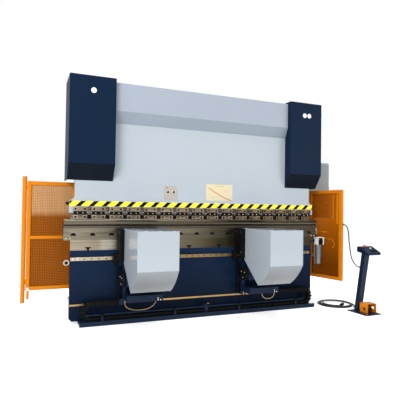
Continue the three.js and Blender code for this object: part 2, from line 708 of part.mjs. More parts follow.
function pedalGuard() {
  const { left, right, front, back, top, sheet } = PEDAL_GUARD;
  const floor = BASE_PLATE.thickness;
  const shell = alongX(outline([
    [front, floor + GAP], [back, floor + GAP], [back, top], [front + 15, top], [front, top - 12],
  ]), left, right);
  const inside = box(left + sheet, right - sheet, front - 5, back - sheet, floor, top - sheet);
  const window = rod('x', [left - 3, (front + back) / 2 - 8, 62], right - left + 6, 19, 16);
  return cut(shell, inside, window);
}

function pedal() {
  const { left, right, sheet } = PEDAL_GUARD;
  const plate = alongX(outline([[10, 38], [10, 48], [-88, 66], [-88, 56]]), left + 36, right - 36);
  const { y, z } = PEDAL_PIVOT;
  const pin = rod('x', [left + sheet + 4, y, z], right - left - 2 * (sheet + 4), 6, 12);
  return join(plate, pin);
}

function addPedestal() {
  const stand = new THREE.Group();
  addNode('pedestal', pedestalStand(), NAVY, stand);
  addNode('console', consoleHead(), NAVY, stand);
  addNode('pedal_guard', pedalGuard(), ORANGE, stand);
  addNode('pedal', pedal(), BLACK, stand);
  const mushroom = [[0, -3], [9, -3], [9, 14], [19, 16], [19, 24], [12, 29], [0, 30]];
  headButton('stop_button', STOP_BUTTON, mushroom, RED, stand);
  headButton('start_button', START_BUTTON, [[0, -3], [11, -3], [11, 8], [0, 8]], WHITE, stand);
  stand.position.set(PEDESTAL.x, PEDESTAL.y, 0);
  stand.rotation.z = THREE.MathUtils.degToRad(PEDESTAL.yaw);
  machine.add(stand);
}

// ---------------------------------------------------------------- cables and hoses

const HOSE = 10;
const CABLE = 14;
const MOTOR_LEAD = 9;
const FOOT_CABLE = 13;
const COIL = { x: 1923.7, y: -122.5, inner: 145, outer: 245, top: 46 };

function leftHose(x) {
  return [
    [x + 40, -85, 221.7], [x + 40, -86, 205], [x + 47, -90, 180], [x + 76, -100, 154], [x + 125, -116, 138],
    [x + 190, -134, 134], [x + 260, -152, 142], [x + 320, -168, 166], [x + 362, -178, 205],
    [x + 375, -180, 240], [x + 375, -180, 257.7],
  ];
}

function rightHose(x) {
  return [
    [x + 205, -270, 257.7], [x + 205, -270, 240], [x + 215, -270, 216], [x + 245, -270, 194],
    [x + 290, -270, 185], [x + 335, -270, 192], [x + 368, -270, 214], [x + 379, -270, 240],
    [x + 380, -270, 257.7],
  ];
}

const PEDESTAL_CABLE = [
  [1914.0, -282.4, 1104], [1917, -299, 1103.5], [1920.5, -325, 1095], [1922, -350, 1070], [1920.5, -372, 1030],
  [1918.5, -385, 975], [1917.5, -393, 905], [1921, -400, 840], [1925, -406, 778], [1928, -416, 715],
  [1932, -436, 655], [1940, -468, 607], [1948, -502, 578], [1952.6, -524, 566.3], [1953.4, -540, 566],
];

const MOTOR_CABLE = [
  [1696, -20, 552.7], [1695, -20, 538], [1684, -17, 520], [1660, -8, 508], [1634, 6, 505], [1612, 12, 509],
  [1604, 13, 510.6], [1598.8, 13, 511],
];

const FOOT_LEAD = [
  [1977.4, -458.6, 40], [1976.7, -444.6, 39.8], [1978.4, -428.6, 35], [1988.6, -411.6, 24],
  [2000.6, -395.6, 13.5], [2015.6, -379.6, 8.3], [2033.6, -363.1, 7.2], [2053.6, -346.6, 7.2],
  [2073.6, -329.6, 7.2], [2093.1, -310.9, 7.2],
];

function footCoil() {
  const { x, y, inner, outer, top } = COIL;
  return lathe([[inner, GAP], [outer, GAP], [outer, top], [inner, top], [inner, GAP]], 40, x, y);
}

// The connector lies inside the coil, starting at its inner wall and turned towards the open middle.
const CONNECTOR = { x: 1886.7, y: -260.6, z: 19.5, turn: 27.6, start: 14.5 };

function connector() {
  const { x, y, z, turn, start } = CONNECTOR;
  const neck = rod('x', [start, 0, 0], 30, 12, 16);
  const shell = rod('x', [start + 25, 0, 0], 70, 18.5, 16);
  return join(neck, shell).rotate([0, 0, turn]).translate([x, y, z]);
}

function addCords() {
  addNode('hose_left', tube(leftHose(LEFT_FOLLOWER), HOSE / 2, 8, 24), BRASS);
  addNode('hose_right', tube(rightHose(RIGHT_FOLLOWER), HOSE / 2, 8, 16), BRASS);
  addNode('pedestal_cable', tube(PEDESTAL_CABLE, CABLE / 2, 8, 36), BLACK);
  addNode('motor_cable', tube(MOTOR_CABLE, MOTOR_LEAD / 2, 8, 10), BLACK);
  addNode('foot_cable', tube(FOOT_LEAD, FOOT_CABLE / 2, 8, 20), BLACK);
  addNode('foot_cable_coil', footCoil(), BLACK);
  addNode('foot_cable_connector', connector(), BLACK);
}

// ---------------------------------------------------------------- assembly

addNode('tray', trayFloor(), NAVY);
addNode('bed_plate', bedPlate(), NAVY);
addNode('table_top', tableTop(), STEEL);
addNode('crowning_wedge', crowningWedge(), STEEL);
addNode('crowning_drive', crowningDrive(), GREY);
addNode('die_holder', dieHolder(), STEEL);
addNode('die_block', dieBlock(), STEEL);
addNode('ram', ramPlate(), PALE);
addNode('ram_panel', ramPanel(), GREY);
addNode('ram_button_left', ramButton(RAM_BUTTONS[0]), BLACK);
addNode('ram_button_right', ramButton(RAM_BUTTONS[1]), BLACK);
addNode('clamp_bar', clampBar(), STEEL);
addNode('punch', punch(), STEEL);
addNode('piston_left', piston(-1), STEEL);
addNode('piston_right', piston(1), STEEL);
addNode('cylinder_left', cylinderBody(-1), GREY);
addNode('cylinder_right', cylinderBody(1), GREY);
addNode('side_frame_left', sideFrameLeft(), PALE);
addNode('side_frame_right', sideFrameRight(), PALE);
addNode('cover_left', endCover(LEFT_COVER, -1), NAVY);
addNode('cover_right', endCover(RIGHT_COVER, 1), NAVY);
addNode('hood', hood(), PALE);
addNode('oil_tank', oilTank(), PALE);
addNode('pump_motor', pumpMotor(), GREY);
addNode('cabinet', cabinetBody(), GREY);
addNode('cabinet_door', cabinetDoor(), GREY);
addNode('upper_rail', upperRail(), STEEL);
addNode('lower_rail', lowerRail(), BRASS);
addNode('guide_bar', guideBar(), PALE);
addNode('chain_lower_runs', chainLowerRuns(), BLACK);
addNode('gauge_base', gaugeBase(), NAVY);
addNode('gauge_beam', gaugeBeam(), STEEL);
addNode('gauge_finger_left', gaugeFinger(-GAUGE.finger), STEEL);
addNode('gauge_finger_right', gaugeFinger(GAUGE.finger), STEEL);
addFollower('left', LEFT_FOLLOWER, CHAIN_LEFT, -1);
addFollower('right', RIGHT_FOLLOWER, CHAIN_RIGHT, 1);
addGuards();
addPedestal();
addCords();

export default machine;
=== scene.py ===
import json
import math

import bmesh
import bpy
import numpy as np
from bpy.props import FloatProperty, FloatVectorProperty, IntProperty, PointerProperty
from bpy.types import Operator, Panel, PropertyGroup
from mathutils import Matrix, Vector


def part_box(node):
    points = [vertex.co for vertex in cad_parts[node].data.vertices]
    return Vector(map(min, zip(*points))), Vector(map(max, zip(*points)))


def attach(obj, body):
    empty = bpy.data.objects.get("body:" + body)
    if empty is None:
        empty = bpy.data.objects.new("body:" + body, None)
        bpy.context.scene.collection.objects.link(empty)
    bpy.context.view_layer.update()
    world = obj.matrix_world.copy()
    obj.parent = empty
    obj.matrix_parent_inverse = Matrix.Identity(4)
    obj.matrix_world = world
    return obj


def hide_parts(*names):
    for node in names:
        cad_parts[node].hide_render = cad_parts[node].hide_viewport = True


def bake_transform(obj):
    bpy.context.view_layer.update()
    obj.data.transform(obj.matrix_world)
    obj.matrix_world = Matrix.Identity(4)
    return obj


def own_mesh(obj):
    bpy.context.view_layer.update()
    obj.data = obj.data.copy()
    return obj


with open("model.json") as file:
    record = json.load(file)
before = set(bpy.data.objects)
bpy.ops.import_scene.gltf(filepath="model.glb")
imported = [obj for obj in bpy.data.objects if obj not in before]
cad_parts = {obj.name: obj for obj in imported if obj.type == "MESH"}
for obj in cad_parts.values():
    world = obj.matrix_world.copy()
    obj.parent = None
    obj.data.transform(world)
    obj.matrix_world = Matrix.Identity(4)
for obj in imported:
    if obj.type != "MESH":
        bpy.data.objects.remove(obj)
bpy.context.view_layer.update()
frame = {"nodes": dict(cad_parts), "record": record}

bl_info = {
    "name": "Press Brake Dressing",
    "version": (1, 0, 0),
    "blender": (4, 5, 0),
    "location": "View3D > Sidebar > Press Brake",
    "description": "Adds the visible pieces, paint and metal finishes of a hydraulic press brake",
    "category": "Object",
}

MM = 0.001


def node_mm(name):
    """Lowest and highest corner of a CAD node, in millimetres."""
    low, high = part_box(name)
    return np.array(low) / MM, np.array(high) / MM


# ---------------------------------------------------------------- surfaces

def lofted(rings, caps=True):
    """Closed skin through rings of points: point j of ring i joins point j of ring i + 1, ends are flat."""
    count, points = rings.shape[:2]
    index = np.arange(count * points).reshape(count, points)
    turned_on = np.roll(index, -1, axis=1)
    quads = np.stack([index[:-1], turned_on[:-1], turned_on[1:], index[1:]], -1).reshape(-1, 4)
    faces = [quads]
    if caps:
        faces += [index[0][::-1][None], index[-1][None]]
    return rings.reshape(-1, 3), faces


def placed(axis, u, v, t):
    """Points from two coordinates across an axis and one along it, keeping the turn direction."""
    return np.stack({"x": (t, u, v), "y": (v, t, u), "z": (u, v, t)}[axis], -1)


def rounded_loop(width, height, radius, corner=4):
    """Rectangle with round corners: four quarter circles of the radius, joined by straight sides."""
    angle = np.linspace(0, math.pi / 2, corner)
    turns = np.repeat(np.arange(4), corner) * math.pi / 2 + np.tile(angle, 4)
    middle_x = np.repeat([1, -1, -1, 1], corner) * (width / 2 - radius)
    middle_y = np.repeat([1, 1, -1, -1], corner) * (height / 2 - radius)
    return np.stack([middle_x + radius * np.cos(turns), middle_y + radius * np.sin(turns)], -1)


def slab(low, high, axis="y", radius=3.0, edge=1.5, corner=4):
    """Plate with round corners: a rounded loop carried along the axis, drawn in by the edge at both faces."""
    low, high = np.array(low, float), np.array(high, float)
    order = {"x": (1, 2, 0), "y": (2, 0, 1), "z": (0, 1, 2)}[axis]
    size, middle = (high - low)[list(order)], ((high + low) / 2)[list(order)]
    depth = np.array([0, edge * 0.3, edge, size[2] - edge, size[2] - edge * 0.3, size[2]])
    inset = np.array([edge, edge * 0.3, 0, 0, edge * 0.3, edge])
    rings = []
    for t, draw in zip(depth, inset):
        loop = rounded_loop(size[0] - 2 * draw, size[1] - 2 * draw, max(radius - draw, 0.2), corner)
        along = np.full(len(loop), middle[2] - size[2] / 2 + t)
        rings.append(placed(axis, middle[0] + loop[:, 0], middle[1] + loop[:, 1], along))
    return lofted(np.array(rings))


def turned(profile, axis, centre, sides=32):
    """Body of revolution: the profile of radius and height turned about an axis through the centre."""
    profile = np.array(profile, float)
    angle = np.linspace(0, 2 * math.pi, sides, endpoint=False)
    radius, height = profile[:, :1], profile[:, 1:]
    rings = placed(axis, radius * np.cos(angle), radius * np.sin(angle), height + 0 * angle)
    return lofted(rings + np.array(centre, float))


def turned_ring(profile, axis, centre, sides=32):
    """Ring: an open profile turned about an axis, its two ends joined by a last band of faces."""
    points, faces = turned(profile, axis, centre, sides)
    first, last = faces[1][0], faces[2][0]
    bridge = np.stack([last, np.roll(last, -1), np.roll(first[::-1], -1), first[::-1]], -1)
    return points, [faces[0], bridge]


def catmull(points, per_span=6):
    """Centripetal spline through the points, as the CAD tubes use it."""
    points = np.array(points, float)
    points = np.vstack([2 * points[0] - points[1], points, 2 * points[-1] - points[-2]])
    knots = np.concatenate([[0], np.cumsum(np.linalg.norm(np.diff(points, axis=0), axis=1) ** 0.5)])
    spans = []
    for i in range(1, len(points) - 2):
        t = np.linspace(knots[i], knots[i + 1], per_span, endpoint=False)[:, None]
        p, k = points[i - 1:i + 3], knots[i - 1:i + 3]
        a = [((k[j + 1] - t) * p[j] + (t - k[j]) * p[j + 1]) / (k[j + 1] - k[j]) for j in range(3)]
        b = [((k[j + 2] - t) * a[j] + (t - k[j]) * a[j + 1]) / (k[j + 2] - k[j]) for j in range(2)]
        spans.append(((k[2] - t) * b[0] + (t - k[1]) * b[1]) / (k[2] - k[1]))
    return np.vstack(spans + [points[-2][None]])


def hose_skin(path, radius, sides=12):
    """Round tube: a circle carried along the path, turned as little as possible from point to point."""
    tangent = np.gradient(path, axis=0)
    tangent /= np.linalg.norm(tangent, axis=1)[:, None]
    side = np.zeros_like(path)
    start = np.cross(tangent[0], [0.31, 0.2, 0.93])
    for i, direction in enumerate(tangent):
        start = start - direction * np.dot(start, direction)
        start /= np.linalg.norm(start)
        side[i] = start
    other = np.cross(tangent, side)
    angle = np.linspace(0, 2 * math.pi, sides, endpoint=False)[None, :, None]
    radius = np.broadcast_to(radius, (len(path),))[:, None, None]
    return lofted(path[:, None] + radius * (np.cos(angle) * side[:, None] + np.sin(angle) * other[:, None]))


def repeated(part, offsets):
    """Copies of one part, one at each offset."""
    points, faces = part
    offsets = np.array(offsets, float).reshape(-1, 3)
    shift = (np.arange(len(offsets)) * len(points))[:, None, None]
    return (
        (offsets[:, None] + points[None]).reshape(-1, 3),
        [(face[None] + shift).reshape(-1, face.shape[1]) for face in faces],
    )


def turned_copy(part, axis, degrees, centre):
    """The part turned about an axis through the centre."""
    points, faces = part
    turn = np.array(Matrix.Rotation(math.radians(degrees), 3, axis.upper()))
    centre = np.array(centre, float)
    return (points - centre) @ turn.T + centre, faces


def merged(*parts):
    """Several parts as one set of points and faces."""
    points, faces, count = [], [], 0
    for part_points, part_faces in parts:
        points.append(part_points)
        faces += [face + count for face in part_faces]
        count += len(part_points)
    return np.vstack(points), faces


def strip(left, right, bottom, top, y, thickness=0.5):
    """Thin flat label or tape standing in front of a face."""
    return slab((left, y - thickness, bottom), (right, y, top), "y", radius=2, edge=0.12, corner=3)


def perforated(low, high, y, thickness, pitch, hole):
    """Sheet with round holes: each square cell is joined to an eight-sided hole through the sheet."""
    columns, rows = int((high[0] - low[0]) / pitch), int((high[1] - low[1]) / pitch)
    step = np.array([(high[0] - low[0]) / columns, (high[1] - low[1]) / rows])
    rim = np.array([[1, 0], [1, 1], [0, 1], [-1, 1], [-1, 0], [-1, -1], [0, -1], [1, -1]]) * step / 2
    angle = np.arange(8) * math.pi / 4
    circle = np.stack([np.cos(angle), np.sin(angle)], -1) * hole / 2
    flat = np.array([rim, circle])
    faced = [np.insert(flat, 1, depth, axis=2) for depth in (y - thickness / 2, y + thickness / 2)]
    points = np.vstack([faced[0].reshape(-1, 3), faced[1].reshape(-1, 3)])
    i = np.arange(8)
    j = (i + 1) % 8
    front = np.stack([i, j, 8 + j, 8 + i], -1)
    back = np.stack([24 + i, 24 + j, 16 + j, 16 + i], -1)
    wall = np.stack([8 + i, 8 + j, 24 + j, 24 + i], -1)
    centres = np.array([
        (low[0] + (c + 0.5) * step[0], 0, low[1] + (r + 0.5) * step[1])
        for c in range(columns) for r in range(rows)
    ])
    return repeated((points, [np.vstack([front, back, wall])]), centres)


# ---------------------------------------------------------------- shader graphs

class Graph:
    """Wires one node tree: values are numbers, colours or sockets."""

    def __init__(self, tree):
        self.tree = tree

    def feed(self, socket, value):
        if isinstance(value, bpy.types.NodeSocket):
            self.tree.links.new(value, socket)
        else:
            socket.default_value = value

    def node(self, kind, inputs=(), **settings):
        made = self.tree.nodes.new(kind)
        for name, value in settings.items():
            setattr(made, name, value)
        for key, value in dict(inputs).items():
            self.feed(made.inputs[key], value)
        return made

    def math(self, operation, a, b=0.0, c=0.0):
        return self.node("ShaderNodeMath", {0: a, 1: b, 2: c}, operation=operation).outputs[0]

    def mix(self, factor, a, b):
        made = self.node("ShaderNodeMix", {0: factor, 6: a, 7: b}, data_type="RGBA")
        return made.outputs[2]

    def between(self, value, low, high, start=0.0, end=1.0):
        return self.node("ShaderNodeMapRange", {0: value, 1: low, 2: high, 3: start, 4: end}).outputs[0]

    def noise(self, vector, scale, detail=3.0, rough=0.55):
        made = self.node("ShaderNodeTexNoise", {"Vector": vector, "Scale": scale, "Detail": detail,
                                                "Roughness": rough})
        return made.outputs[0]

    def stretched(self, vector, factors):
        made = self.node("ShaderNodeVectorMath", {0: vector, 1: factors}, operation="MULTIPLY")
        return made.outputs[0]

    def position(self):
        return self.node("ShaderNodeTexCoord").outputs["Object"]

    def apart(self, vector):
        return self.node("ShaderNodeSeparateXYZ", {0: vector}).outputs


def new_group(name, inputs, outputs):
    """An empty shader group with named sockets, and its graph with both ends."""
    tree = bpy.data.node_groups.new(name, "ShaderNodeTree")
    kinds = {float: "NodeSocketFloat", tuple: "NodeSocketColor", list: "NodeSocketVector"}
    for socket, default in inputs.items():
        made = tree.interface.new_socket(socket, in_out="INPUT", socket_type=kinds[type(default)])
        made.default_value = default
    for socket, kind in outputs.items():
        tree.interface.new_socket(socket, in_out="OUTPUT", socket_type=kinds[kind])
    graph = Graph(tree)
    return graph, graph.node("NodeGroupInput").outputs, graph.node("NodeGroupOutput").inputs


def worn_finish_group():
    """Fine grain, soft blotches and small scuffs over any colour."""
    graph, given, out = new_group(
        "worn_finish",
        {
            "Colour": (0.5, 0.5, 0.5, 1.0), "Shade": (0.3, 0.3, 0.3, 1.0), "Bare": (0.6, 0.6, 0.6, 1.0),
            "Stretch": [1.0, 1.0, 1.0], "Fine": 300.0, "Blotch": 3.0, "Blotch Amount": 0.3,
            "Scuff Amount": 0.2, "Rough Low": 0.3, "Rough High": 0.5,
        },
        {"Colour": tuple, "Roughness": float, "Height": float, "Scuff": float},
    )
    position = graph.position()
    drawn = graph.stretched(position, given["Stretch"])
    fine = graph.noise(drawn, given["Fine"], 2.0, 0.6)
    blotch = graph.noise(position, given["Blotch"], 4.0, 0.6)
    blotch_mask = graph.math("MULTIPLY", graph.between(blotch, 0.35, 0.7), given["Blotch Amount"])
    grain_mask = graph.math("MULTIPLY", graph.between(fine, 0.3, 0.7), 0.18)
    scuff_noise = graph.noise(graph.stretched(position, (3.0, 3.0, 22.0)), 9.0, 6.0, 0.75)
    scuff = graph.math("MULTIPLY", graph.between(scuff_noise, 0.66, 0.74), given["Scuff Amount"])
    shaded = graph.mix(graph.math("MAXIMUM", blotch_mask, grain_mask), given["Colour"], given["Shade"])
    graph.feed(out["Colour"], graph.mix(scuff, shaded, given["Bare"]))
    span = graph.math("SUBTRACT", given["Rough High"], given["Rough Low"])
    wear = graph.math("ADD", graph.math("MULTIPLY", fine, 0.5), graph.math("MULTIPLY", blotch, 0.5))
    rough = graph.math("MULTIPLY_ADD", graph.between(wear, 0.35, 0.65), span, given["Rough Low"])
    graph.feed(out["Roughness"], graph.math("MULTIPLY_ADD", scuff, 0.15, rough))
    graph.feed(out["Height"], graph.math("MULTIPLY_ADD", scuff, -0.6, fine))
    graph.feed(out["Scuff"], scuff)
    return graph.tree


def band_group():
    """1 inside a band of one value, with a soft rim, and 0 outside."""
    graph, given, out = new_group(
        "band", {"Value": 0.0, "Low": 0.0, "High": 1.0, "Soft": 0.001}, {"Mask": float})
    low_edge = graph.math("ADD", given["Low"], given["Soft"])
    high_edge = graph.math("ADD", given["High"], given["Soft"])
    rise = graph.between(given["Value"], given["Low"], low_edge)
    fall = graph.between(given["Value"], given["High"], high_edge, 1.0, 0.0)
    graph.feed(out["Mask"], graph.math("MULTIPLY", rise, fall))
    return graph.tree


GROUPS = {}


def shared(name):
    makers = {"worn_finish": worn_finish_group, "band": band_group}
    if name not in GROUPS:
        GROUPS[name] = makers[name]()
    return GROUPS[name]


def band(graph, value, low, high, soft=0.0015):
    made = graph.node("ShaderNodeGroup", node_tree=shared("band"))
    for name, given in zip(("Value", "Low", "High", "Soft"), (value, low, high, soft)):
        graph.feed(made.inputs[name], given)
    return made.outputs["Mask"]


def rgba(colour):
    return (*colour[:3], 1.0)


def finish(name, colour, shade, bare=(0.5, 0.5, 0.5), pattern=None, metal=0.0, rough=(0.3, 0.45), fine=260.0,
           stretch=(1.0, 1.0, 1.0), blotch=2.5, blotch_amount=0.25, scuffs=0.2, bump=0.15, depth=0.0006,
           **constants):
    """A material of one Principled shader over the shared worn finish. pattern(graph) may give its colours."""
    material = bpy.data.materials.new(name)
    material.use_nodes = True
    material.diffuse_color = rgba(colour)
    graph = Graph(material.node_tree)
    shader = material.node_tree.nodes["Principled BSDF"]
    made = graph.node("ShaderNodeGroup", node_tree=shared("worn_finish"))
    given = {
        "Colour": rgba(colour), "Shade": rgba(shade), "Bare": rgba(bare), "Stretch": stretch, "Fine": fine,
        "Blotch": blotch, "Blotch Amount": blotch_amount, "Scuff Amount": scuffs,
        "Rough Low": rough[0], "Rough High": rough[1],
    }
    drawn = pattern(graph) if pattern else {}
    metallic = drawn.pop("Metallic", metal)
    given.update(drawn)
    for socket, value in given.items():
        graph.feed(made.inputs[socket], value)
    graph.feed(shader.inputs["Base Color"], made.outputs["Colour"])
    graph.feed(shader.inputs["Roughness"], made.outputs["Roughness"])
    graph.feed(shader.inputs["Metallic"], metallic)
    lift = graph.node("ShaderNodeBump", {"Height": made.outputs["Height"]})
    lift.inputs["Strength"].default_value = bump
    lift.inputs["Distance"].default_value = depth
    graph.feed(shader.inputs["Normal"], lift.outputs[0])
    for socket, value in constants.items():
        shader.inputs[socket.replace("_", " ")].default_value = value
    return material


# ---------------------------------------------------------------- patterns

def painted_bed(graph):
    """Ground steel above the paint line, enamel below, and faint tool passes along the steel. The steel carries a
    painted reflection, bright at the left and dark bronze to the right, and a painted highlight band near the left
    end.
    """
    x, y, z = graph.apart(graph.position())
    steel = graph.between(graph.math("ADD", z, graph.math("MULTIPLY", graph.noise(
        graph.position(), 6.0, 2.0), 0.002)), 0.8103, 0.8108)
    # Painted reflection: the steel fades from a bright tone at the left to dark bronze at the right.
    along = graph.between(x, -1.5, 0.2)
    ground = graph.mix(along, rgba((0.46, 0.39, 0.28)), rgba((0.060, 0.046, 0.022)))
    # Painted highlight: a bright band on the steel near its left end.
    painted_highlight = graph.math("MULTIPLY", band(graph, x, -1.30, -1.12, 0.06), 0.55)
    ground = graph.mix(painted_highlight, ground, rgba((0.85, 0.80, 0.70)))
    passes = graph.noise(graph.stretched(graph.position(), (0.35, 1.0, 26.0)), 2.0, 5.0, 0.7)
    darker = graph.mix(along, rgba((0.20, 0.16, 0.10)), rgba((0.05, 0.04, 0.02)))
    ground = graph.mix(graph.between(passes, 0.35, 0.68, 0.0, 0.75), ground, darker)
    lines = graph.math("MAXIMUM", band(graph, z, 0.8975, 0.8990), band(graph, z, 0.8720, 0.8726))
    ground = graph.mix(graph.math("MULTIPLY", lines, 0.6), ground, rgba((0.10, 0.08, 0.05)))
    enamel = graph.mix(graph.between(z, 0.2, 0.8), rgba((0.0035, 0.0095, 0.026)), rgba((0.0065, 0.0185, 0.050)))
    return {
        "Colour": graph.mix(steel, enamel, ground), "Metallic": graph.math("MULTIPLY", steel, 0.85),
        "Shade": graph.mix(steel, rgba((0.003, 0.008, 0.020)), graph.mix(along, rgba((0.17, 0.13, 0.08)),
                                                                         rgba((0.03, 0.025, 0.012)))),
    }


def painted_shade_below(upright, under, full, start):
    """Painted shade: colour that turns to a darker tone as a face leans further towards the floor."""
    def pattern(graph):
        facing = graph.apart(graph.node("ShaderNodeNewGeometry").outputs["True Normal"])[2]
        return {"Colour": graph.mix(graph.between(facing, full, start, 1.0, 0.0), rgba(upright), rgba(under))}
    return pattern


def shaded_underside(graph):
    """Enamel that turns almost black on faces that lean towards the floor."""
    colours = bpy.context.scene.press_brake_colours
    facing = graph.apart(graph.node("ShaderNodeNewGeometry").outputs["True Normal"])[2]
    under = graph.between(facing, -0.35, -0.15, 1.0, 0.0)
    return {
        "Colour": graph.mix(under, rgba(colours.navy), rgba((0.0060, 0.0095, 0.0155))),
        "Shade": graph.mix(under, rgba((0.004, 0.010, 0.024)), rgba((0.003, 0.003, 0.003))),
    }


def deeper_towards_bottom(graph):
    """Orange glazing that grows deeper towards its bottom edge."""
    upper = graph.between(graph.apart(graph.position())[2], 0.55, 1.25)
    return {
        "Colour": graph.mix(upper, rgba((0.17, 0.040, 0.001)), rgba((0.50, 0.14, 0.004))),
        "Shade": graph.mix(upper, rgba((0.14, 0.032, 0.001)), rgba((0.44, 0.10, 0.003))),
    }


def hazard_stripes(graph):
    """Leaning black bars on yellow: the distance along X, slanted by the height, taken modulo the pitch."""
    sizes = bpy.context.scene.press_brake_sizes
    x, y, z = graph.apart(graph.position())
    leaned = graph.math("SUBTRACT", x, graph.math("MULTIPLY", graph.math("SUBTRACT", z, 1.33), 1.05))
    turns = graph.math("DIVIDE", graph.math("ADD", leaned, 1.494), sizes.stripe_pitch)
    phase = graph.math("FRACT", graph.math("ADD", turns, 20.0 + sizes.stripe_share / 2))
    black = band(graph, phase, 0.0, sizes.stripe_share, 0.012)
    return {
        "Colour": graph.mix(black, rgba((0.93, 0.80, 0.045)), rgba((0.004, 0.003, 0.003))),
        "Shade": graph.mix(black, rgba((0.70, 0.58, 0.04)), rgba((0.006, 0.005, 0.005))),
    }


def bending_chart(graph):
    """Cream plate with a frame of grid lines, small blank blocks and one falling red curve."""
    x, y, z = graph.apart(graph.position())
    across = graph.between(x, 0.016, 0.381)
    up = graph.between(z, 1.392, 1.599)
    curve = graph.math("MULTIPLY", graph.math("POWER", graph.math("SUBTRACT", 1.0, across), 1.35), 0.86)
    gap = graph.math("ABSOLUTE", graph.math("SUBTRACT", up, graph.math("ADD", curve, 0.02)))
    near = graph.between(gap, 0.020, 0.032, 1.0, 0.0)
    red = graph.math("MULTIPLY", near, band(graph, across, 0.09, 0.95, 0.01))
    columns = graph.math("FRACT", graph.math("MULTIPLY", across, 9.0))
    rows = graph.math("FRACT", graph.math("MULTIPLY", up, 6.0))
    cell = graph.math("MAXIMUM", band(graph, columns, 0.0, 0.05), band(graph, rows, 0.0, 0.06))
    inside = graph.math("MULTIPLY", band(graph, across, 0.07, 0.93), band(graph, up, 0.08, 0.80))
    cream = graph.mix(graph.math("MULTIPLY", graph.math("MULTIPLY", cell, inside), 0.22),
                      rgba((0.58, 0.51, 0.32)), rgba((0.36, 0.26, 0.10)))
    bars = graph.math("MULTIPLY", band(graph, up, 0.87, 0.93), band(graph, across, 0.33, 0.66))
    small = graph.math("MULTIPLY", band(graph, up, 0.14, 0.26), band(graph, across, 0.20, 0.34))
    small = graph.math("MAXIMUM", small, graph.math("MULTIPLY", band(graph, up, 0.52, 0.66),
                                                    band(graph, across, 0.66, 0.86)))
    marks = graph.math("MAXIMUM", graph.math("MULTIPLY", bars, 0.65), graph.math("MULTIPLY", small, 0.25))
    printed = graph.mix(marks, cream, rgba((0.42, 0.27, 0.10)))
    return {"Colour": graph.mix(red, printed, rgba((0.45, 0.02, 0.012)))}


def streaks_and_reflection_along_x(left, right, start=-1.5, end=0.4):
    """Painted reflection: colour that turns from one tone to another along the machine, standing in for what the steel
    mirrors, with grinding streaks that run with it.
    """
    def pattern(graph):
        position = graph.position()
        x, y, z = graph.apart(position)
        streak = graph.noise(graph.stretched(position, (0.5, 1.0, 40.0)), 2.2, 4.0, 0.7)
        # Painted reflection: the tone fades from the left colour to the right one along X.
        reflected_tone = graph.mix(graph.between(x, start, end), rgba(left), rgba(right))
        dark = graph.mix(0.6, reflected_tone, (0.05, 0.04, 0.03, 1.0))
        return {"Colour": graph.mix(graph.between(streak, 0.42, 0.66), reflected_tone, dark)}
    return pattern


def guard_backing(graph):
    """Tinted sheet behind the holes, pale above the table line and nearly black below it."""
    x, y, z = graph.apart(graph.position())
    ribs = graph.noise(graph.stretched(graph.position(), (60.0, 1.0, 2.0)), 1.0, 3.0, 0.7)
    height = graph.between(graph.math("ADD", z, graph.math("MULTIPLY", ribs, 0.04)), 1.19, 1.22)
    low = graph.mix(graph.between(ribs, 0.35, 0.65), rgba((0.012, 0.004, 0.001)), rgba((0.060, 0.018, 0.002)))
    high = graph.mix(graph.between(ribs, 0.35, 0.65), rgba((0.16, 0.075, 0.025)), rgba((0.42, 0.24, 0.12)))
    return {"Colour": graph.mix(height, low, high)}


def guard_sheet(graph):
    """The perforated sheet, orange below, with painted light that makes it lighter above."""
    x, y, z = graph.apart(graph.position())
    # Painted light: the sheet turns lighter above the table line.
    upper = graph.between(z, 1.17, 1.24)
    return {"Colour": graph.mix(upper, rgba((0.30, 0.080, 0.001)), rgba((0.56, 0.30, 0.13)))}


def slatted_top(graph):
    """Dark blue top with pale slats that cross it at a slant."""
    x, y, z = graph.apart(graph.position())
    slanted = graph.math("ADD", x, graph.math("MULTIPLY", y, 0.8))
    phase = graph.math("FRACT", graph.math("DIVIDE", graph.math("ADD", slanted, 9.0), 0.145))
    return {"Colour": graph.mix(band(graph, phase, 0.0, 0.28, 0.02), rgba((0.012, 0.035, 0.10)),
                                rgba((0.55, 0.62, 0.72)))}


STEEL_STRETCH = (0.03, 1.0, 1.0)


